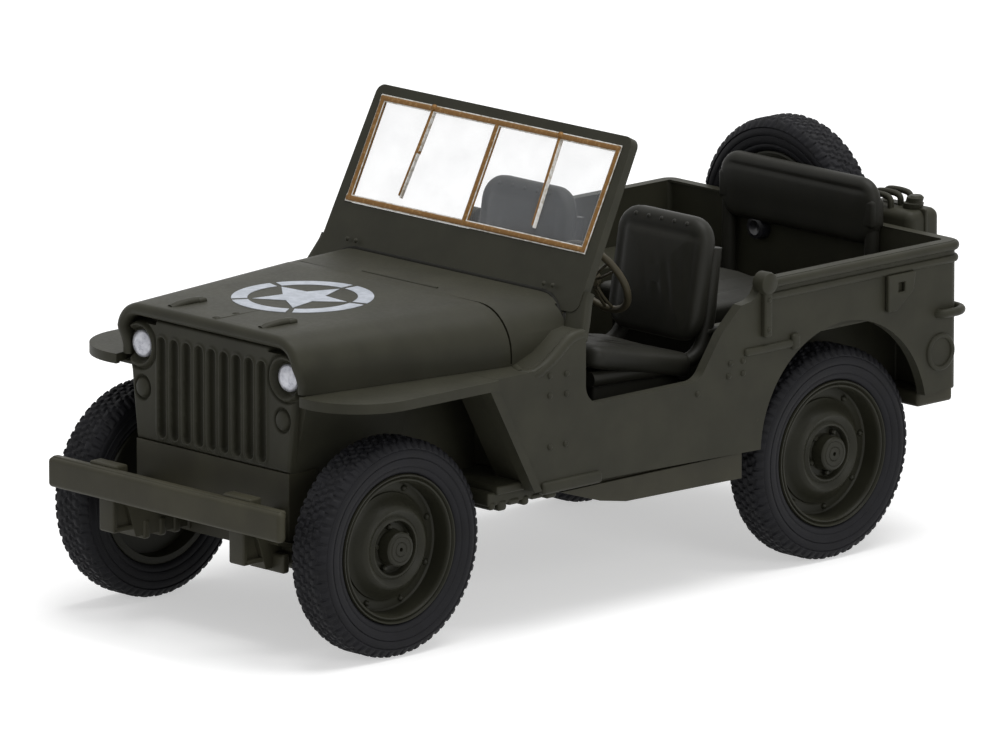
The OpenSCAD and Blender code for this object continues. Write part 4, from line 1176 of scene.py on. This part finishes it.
spring_low, spring_high = car_box("leaf_springs")
spring_x1 = spring_high[0]
spring_x0 = spring_x1 - 1.1
axle_stations = [(a + b)[1] / 2 for a, b in (car_box("front_pin"), car_box("rear_pin"))]
springs = []
for turn in (lambda part: part, mirrored):
    for y in axle_stations:
        for k, reach in enumerate((3.2, 4.6, 6.0, 7.4)):
            springs.append(turn(spring_leaf(spring_x0, spring_x1, y, reach, 0.3 * k)))
        for dy in (-6.6, -4.9, -3.4, -1.9, 1.9, 3.4, 4.9, 6.6):
            z = spring_low[2] + 0.02
            springs.append(turn(soft_block((spring_x0 - 1.95, y + dy - 0.36, z - 0.14),
                                           (spring_x1 + 0.1, y + dy + 0.36, z + 1.4), 0.24)))
        springs.append(turn(soft_block((spring_x0 - 0.1, y - 1.2, spring_low[2] + 0.02),
                                       (spring_x1 + 0.1, y + 1.2, spring_low[2] + 2.2), 0.25)))
add_piece("leaf_spring_packs", *merge(springs), base_plastic, "base_plastic", ["leaf_springs"])
horns = []
for turn in (lambda part: part, mirrored):
    horns.append(turn(soft_block((6.65, nose_y + 0.9, 7.75), (8.35, nose_y + 1.35, 10.9), 0.14)))
    horns.append(turn(soft_block((6.65, nose_y + 0.95, 7.7), (8.35, nose_y + 4.4, 8.1), 0.14)))
    horns.append(turn(soft_block((7.0, nose_y + 1.0, 7.9), (7.9, nose_y + 4.2, 11.0), 0.14)))
add_piece("frame_horns", *merge(horns), base_plastic, "base_plastic")


# ---- Wheels: rubber tyres on moulded rims, on steel pins ----
# Soft black tyres with three rows of staggered blocks a side and smooth, ringed walls.
# The rims are dished, with eight rivets, five nuts round the hub and a turned hub cap.
rubber_finish = Finish("tyre_rubber")
mottle = rubber_finish.noise(1.6, detail=4.0)
dust = rubber_finish.noise(0.16, detail=5.0)
tone = rubber_finish.mix(mottle.clipped(0.3, 0.7), (0.0052, 0.0052, 0.0064, 1), (0.009, 0.009, 0.011, 1))
tone = rubber_finish.mix(dust.clipped(0.62, 0.75) * 0.35, tone, (0.035, 0.034, 0.032, 1))
rubber = rubber_finish.surface(**{
    "Base_Color": tone, "Roughness": mottle * 0.2 + 0.5, "Specular_IOR_Level": 0.16,
    "Normal": rubber_finish.node("Bump", {"Height": dust + mottle, "Strength": 0.18,
                                          "Distance": 0.00003})})
wheel_plastic = lacquer("wheel_moulding", (0.0195, 0.0192, 0.0125), gloss=0.42)
steel_finish = Finish("steel_wire")
drawn = steel_finish.noise(0.3, detail=3.0)
steel_wire = steel_finish.surface(**{
    "Base_Color": steel_finish.mix(drawn, (0.4, 0.4, 0.41, 1), (0.6, 0.6, 0.6, 1)),
    "Metallic": 1.0, "Roughness": drawn * 0.2 + 0.25})

tyre_low, tyre_high = car_box("front_left_tyre")
TYRE_R = (tyre_high[2] - tyre_low[2]) / 2
TYRE_W = tyre_high[0] - tyre_low[0]
RIM_R = 5.95
BLOCKS = 70


def tyre_shell(around=630):
    """A closed profile turned about the axle, with the radius lowered between the blocks:
    each row of blocks is a cosine of 70 times the angle, shifted and slanted row by row."""
    w0 = TYRE_W / 2
    tread = np.linspace(-1, 1, 41)
    tread_w = tread * (w0 - 0.05)
    crown = TYRE_R - 0.62 * np.clip((np.abs(tread) - 0.55) / 0.45, 0, 1) ** 2.2
    wall_r = np.array([7.94, 7.86, 7.8, 7.6, 7.3, 7.22, 7.16, 6.9, 6.6, 6.52, 6.44, 6.2, 6.05, RIM_R])
    wall_w = np.array([1.86, 1.78, 1.84, 1.88, 1.9, 1.83, 1.9, 1.88, 1.84, 1.76, 1.8, 1.72, 1.62, 1.5]) / 1.9 * w0
    r = np.concatenate([crown, wall_r, wall_r[::-1]])
    w = np.concatenate([tread_w, wall_w, -wall_w[::-1]])
    angle = np.arange(around)[:, None] * 2 * np.pi / around
    across = np.concatenate([tread, np.full(28, 9.0)])[None, :]
    side = np.sign(across)
    size = np.abs(across)
    row = (size > 0.3).astype(float) + (size > 0.66)
    turn = BLOCKS * angle + side * 1.6 + row * 2.3 + size * 2.4 + 0.5 * np.sin(angle * 35 + row)
    block = smooth_step(np.cos(turn), -0.55, -0.1)
    wave = 0.045 * np.sign(np.sin(angle * 35)) * np.sqrt(np.abs(np.sin(angle * 35)))
    for groove, half_width in ((0.0, 0.035), (0.3, 0.045), (0.66, 0.045)):
        gap = np.abs(across - wave) if groove == 0 else np.abs(size - groove - wave)
        block = block * smooth_step(gap, half_width * 0.6, half_width * 1.6)
    depth = 0.15 * (1 - block) * (size < 2)
    depth *= 1 - 0.5 * smooth_step(size, 0.93, 1.0)
    radius = r[None, :] - depth
    points = np.stack([radius * np.cos(angle), radius * np.sin(angle), np.repeat(w[None, :], around, 0)], -1)
    faces = [tuple(f) for f in grid_faces(around, len(r), wrap_rows=True, wrap_columns=True)]
    return points.reshape(-1, 3), faces


RIM_PROFILE = [(0, 1.6), (0.14, 1.6), (0.17, 1.84), (0.5, 1.85), (0.56, 1.79), (0.64, 1.85), (0.95, 1.85),
               (1.0, 1.8), (1.08, 1.84), (1.24, 1.82), (1.35, 1.7), (1.37, 1.5), (1.4, 0.62), (1.5, 0.52),
               (1.95, 0.5), (2.06, 0.6), (2.1, 1.05), (2.18, 1.17), (2.32, 1.18), (2.42, 1.08), (2.52, 1.02),
               (2.7, 1.12), (2.88, 1.27), (3.02, 1.31), (3.16, 1.24), (3.4, 0.95), (3.8, 0.45), (4.12, 0.2),
               (4.24, 0.15), (4.3, 0.0), (4.4, -0.04), (4.55, -0.04), (5.0, -0.02), (5.14, 0.1), (5.22, 0.45),
               (5.28, 1.2), (5.33, 1.5), (5.42, 1.63), (5.52, 1.64), (5.59, 1.56), (5.64, 1.48), (5.7, 1.56),
               (5.77, 1.7), (5.86, 1.73), (5.92, 1.64), (5.93, 1.45), (5.93, -1.6), (5.8, -1.7), (5.35, -1.7),
               (5.25, -1.5), (5.2, -0.6), (3.0, -0.55), (0, -0.55)]


def rim_shell():
    """The rim's turned profile with its rivets and nuts; the hub cap faces +Z."""
    centre, axis = (0, 0, 0), (0, 0, 1)
    parts = [lathe(RIM_PROFILE, 112, centre, axis)]
    for k in range(8):
        a = math.radians(20) + k * math.pi / 4
        parts.append(dome((4.72 * math.cos(a), 4.72 * math.sin(a), 0.0), axis, 0.27, 0.26))
    for k in range(5):
        a = math.radians(8) + k * 2 * math.pi / 5
        nut = [(0, 0.45), (0.23, 0.45), (0.23, 0.85), (0.14, 0.95), (0, 0.95)]
        parts.append(lathe(nut[::-1], 6, (1.72 * math.cos(a), 1.72 * math.sin(a), 0), axis))
    return merge(parts)


def fit_wheel(part, middle, axis, spin=0.0):
    """Turn a wheel's shell, made about +Z, to its axle direction, spun about it by `spin`."""
    points, faces = part
    axis = np.asarray(axis, float)
    side = np.array([0, 0, 1.0])
    other = np.cross(axis, side)
    c, s = math.cos(spin), math.sin(spin)
    x, y = points[:, :1] * c - points[:, 1:2] * s, points[:, :1] * s + points[:, 1:2] * c
    placed = np.asarray(middle, float) + x * side + y * other + points[:, 2:] * axis
    return placed, outward(placed, faces)


tyre_part, rim_part = tyre_shell(), rim_shell()
for number, (name, axis, body) in enumerate((
        ("front_left", (1, 0, 0), "front_axle"), ("front_right", (-1, 0, 0), "front_axle"),
        ("rear_left", (1, 0, 0), "rear_axle"), ("rear_right", (-1, 0, 0), "rear_axle"),
        ("spare", (0, 1, 0), "body"))):
    low, high = car_box(name + "_tyre")
    middle = (low + high) / 2
    add_piece(name + "_tread_tyre", *fit_wheel(tyre_part, middle, axis, 0.37 * number), rubber, "tyre",
              [name + "_tyre"], body=body, crisp=50)
    add_piece(name + "_dished_rim", *fit_wheel(rim_part, middle, axis, 0.29 * number), wheel_plastic,
              "wheel_plastic", [name + "_rim"], body=body, crisp=32)
for node in ("front_pin", "rear_pin"):
    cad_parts[node].data.materials.clear()
    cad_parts[node].data.materials.append(steel_wire)


# ---- Rear equipment and small fittings ----
# The spare wheel sits on a black peg through the rear panel. The fuel can, a welded can
# with three handle bars, stands in a carrier; handles and brackets are cast on the tub.
peg_finish = Finish("black_peg")
sheen = peg_finish.noise(0.5, detail=4.0)
peg_black = peg_finish.surface(**{
    "Base_Color": peg_finish.mix(sheen, (0.008, 0.008, 0.011, 1), (0.02, 0.02, 0.024, 1)),
    "Roughness": sheen * 0.2 + 0.22,
    "Normal": peg_finish.node("Bump", {"Height": sheen, "Strength": 0.25, "Distance": 0.00005})})
peg_low, peg_high = car_box("spare_peg")
peg_x, peg_z = (peg_low[0] + peg_high[0]) / 2, (peg_low[2] + peg_high[2]) / 2
peg_profile = [(0, peg_high[1] - 0.02), (0.8, peg_high[1] - 0.02), (0.98, peg_high[1] - 0.25), (0.98, peg_low[1] + 0.3),
               (0.9, peg_low[1] + 0.08), (0.6, peg_low[1] + 0.02), (0.35, peg_low[1] + 0.25), (0, peg_low[1] + 0.3)]
add_piece("spare_wheel_peg", *lathe(peg_profile[::-1], 40, (peg_x, 0, peg_z), (0, 1, 0)), peg_black,
          "peg_plastic", ["spare_peg"])
for node, width in (("can_carrier", 0.12), ("bow_brackets", 0.12)):
    cast_copy(node, olive_paint, width)
handle_low, handle_high = car_box("corner_handles")
handle_z = (handle_low[2] + handle_high[2]) / 2
a = np.linspace(0, np.pi / 2, 9)
turned = np.column_stack([side_x - 0.9 + 1.45 * np.cos(a), tail_y - 0.9 + 1.45 * np.sin(a), np.full(9, handle_z)])
grip = smooth_path(np.vstack([[(side_x - 0.3, tail_y - 2.5, handle_z - 0.1), (side_x + 0.45, tail_y - 2.1, handle_z)], turned,
                              [(side_x - 1.9, tail_y + 0.5, handle_z), (side_x - 2.3, tail_y - 0.3, handle_z)]]), 4)
grip = tube(grip, circle(0.36, 14))
add_piece("corner_grips", *merge([grip, mirrored(grip)]), olive_paint, "olive_paint", ["corner_handles"])

can_low, can_high = car_box("fuel_can")
CAN_TOP = can_high[2] - 1.2
parts = [soft_block((can_low[0] + 0.02, can_low[1] + 0.02, can_low[2] + 0.02),
                    (can_high[0] - 0.02, can_high[1] - 0.02, CAN_TOP), 0.75)]
mid_y = (can_low[1] + can_high[1]) / 2
for dy in (-1.15, 0.0, 1.15):
    bar = smooth_path([(can_low[0] + 0.8, mid_y + dy, CAN_TOP - 0.2), (can_low[0] + 1.0, mid_y + dy, CAN_TOP + 0.75),
                       (can_low[0] + 3.3, mid_y + dy, CAN_TOP + 0.8), (can_low[0] + 3.6, mid_y + dy, CAN_TOP - 0.2)], 7)
    parts.append(tube(bar, circle(0.26, 10), up=(0, 1, 0)))
spout = [(0, 1.15), (0.5, 1.15), (0.72, 0.95), (0.72, 0.55), (0.85, 0.45), (0.85, 0.1), (0.7, -0.3), (0, -0.3)]
parts.append(lathe(spout, 28, (can_high[0] - 1.5, mid_y, CAN_TOP), (0.35, 0, 0.937)))
parts.append(soft_block((can_low[0] + 0.3, mid_y - 0.16, can_low[2] + 0.4), (can_high[0] + 0.12, mid_y + 0.16, CAN_TOP + 0.08), 0.13))
for face_y in (can_low[1] + 0.02, can_high[1] - 0.02):
    for sx in (-1, 1):
        cx, cz = (can_low[0] + can_high[0]) / 2, (can_low[2] + CAN_TOP) / 2 - 0.3
        ends = np.array([(cx - 2.0 * sx, face_y, cz - 3.1), (cx + 2.0 * sx, face_y, cz + 3.1)])
        rib = ends[0] + np.linspace(0, 1, 6)[:, None] * (ends[1] - ends[0])
        parts.append(tube(rib, circle(0.24, 10, tall=0.7), up=(0, 1, 0)))
add_piece("fuel_can_welded", *merge(parts), olive_paint, "olive_paint", ["fuel_can"], crisp=40)

grab_low, grab_high = car_box("grab_handles")
parts = []
for turn in (lambda part: part, mirrored):
    y = (grab_low[1] + grab_high[1]) / 2
    knob = [(0, -0.5), (0.9, -0.5), (0.92, 0.35), (0.84, 0.58), (0.6, 0.72), (0, 0.75)]
    parts.append(turn(lathe(knob, 28, (side_x, y, rim_z - 0.25), (1, 0, 0))))
    parts.append(turn(soft_block((side_x - 0.2, y - 0.42, rim_z - 4.6), (side_x + 0.5, y + 0.42, rim_z - 0.4), 0.2)))
    for z in (rim_z - 4.0, rim_z - 1.6):
        parts.append(turn(dome((side_x + 0.48, y, z), (1, 0, 0), 0.22, 0.16)))
add_piece("grab_handles_cast", *merge(parts), olive_paint, "olive_paint", ["grab_handles"])
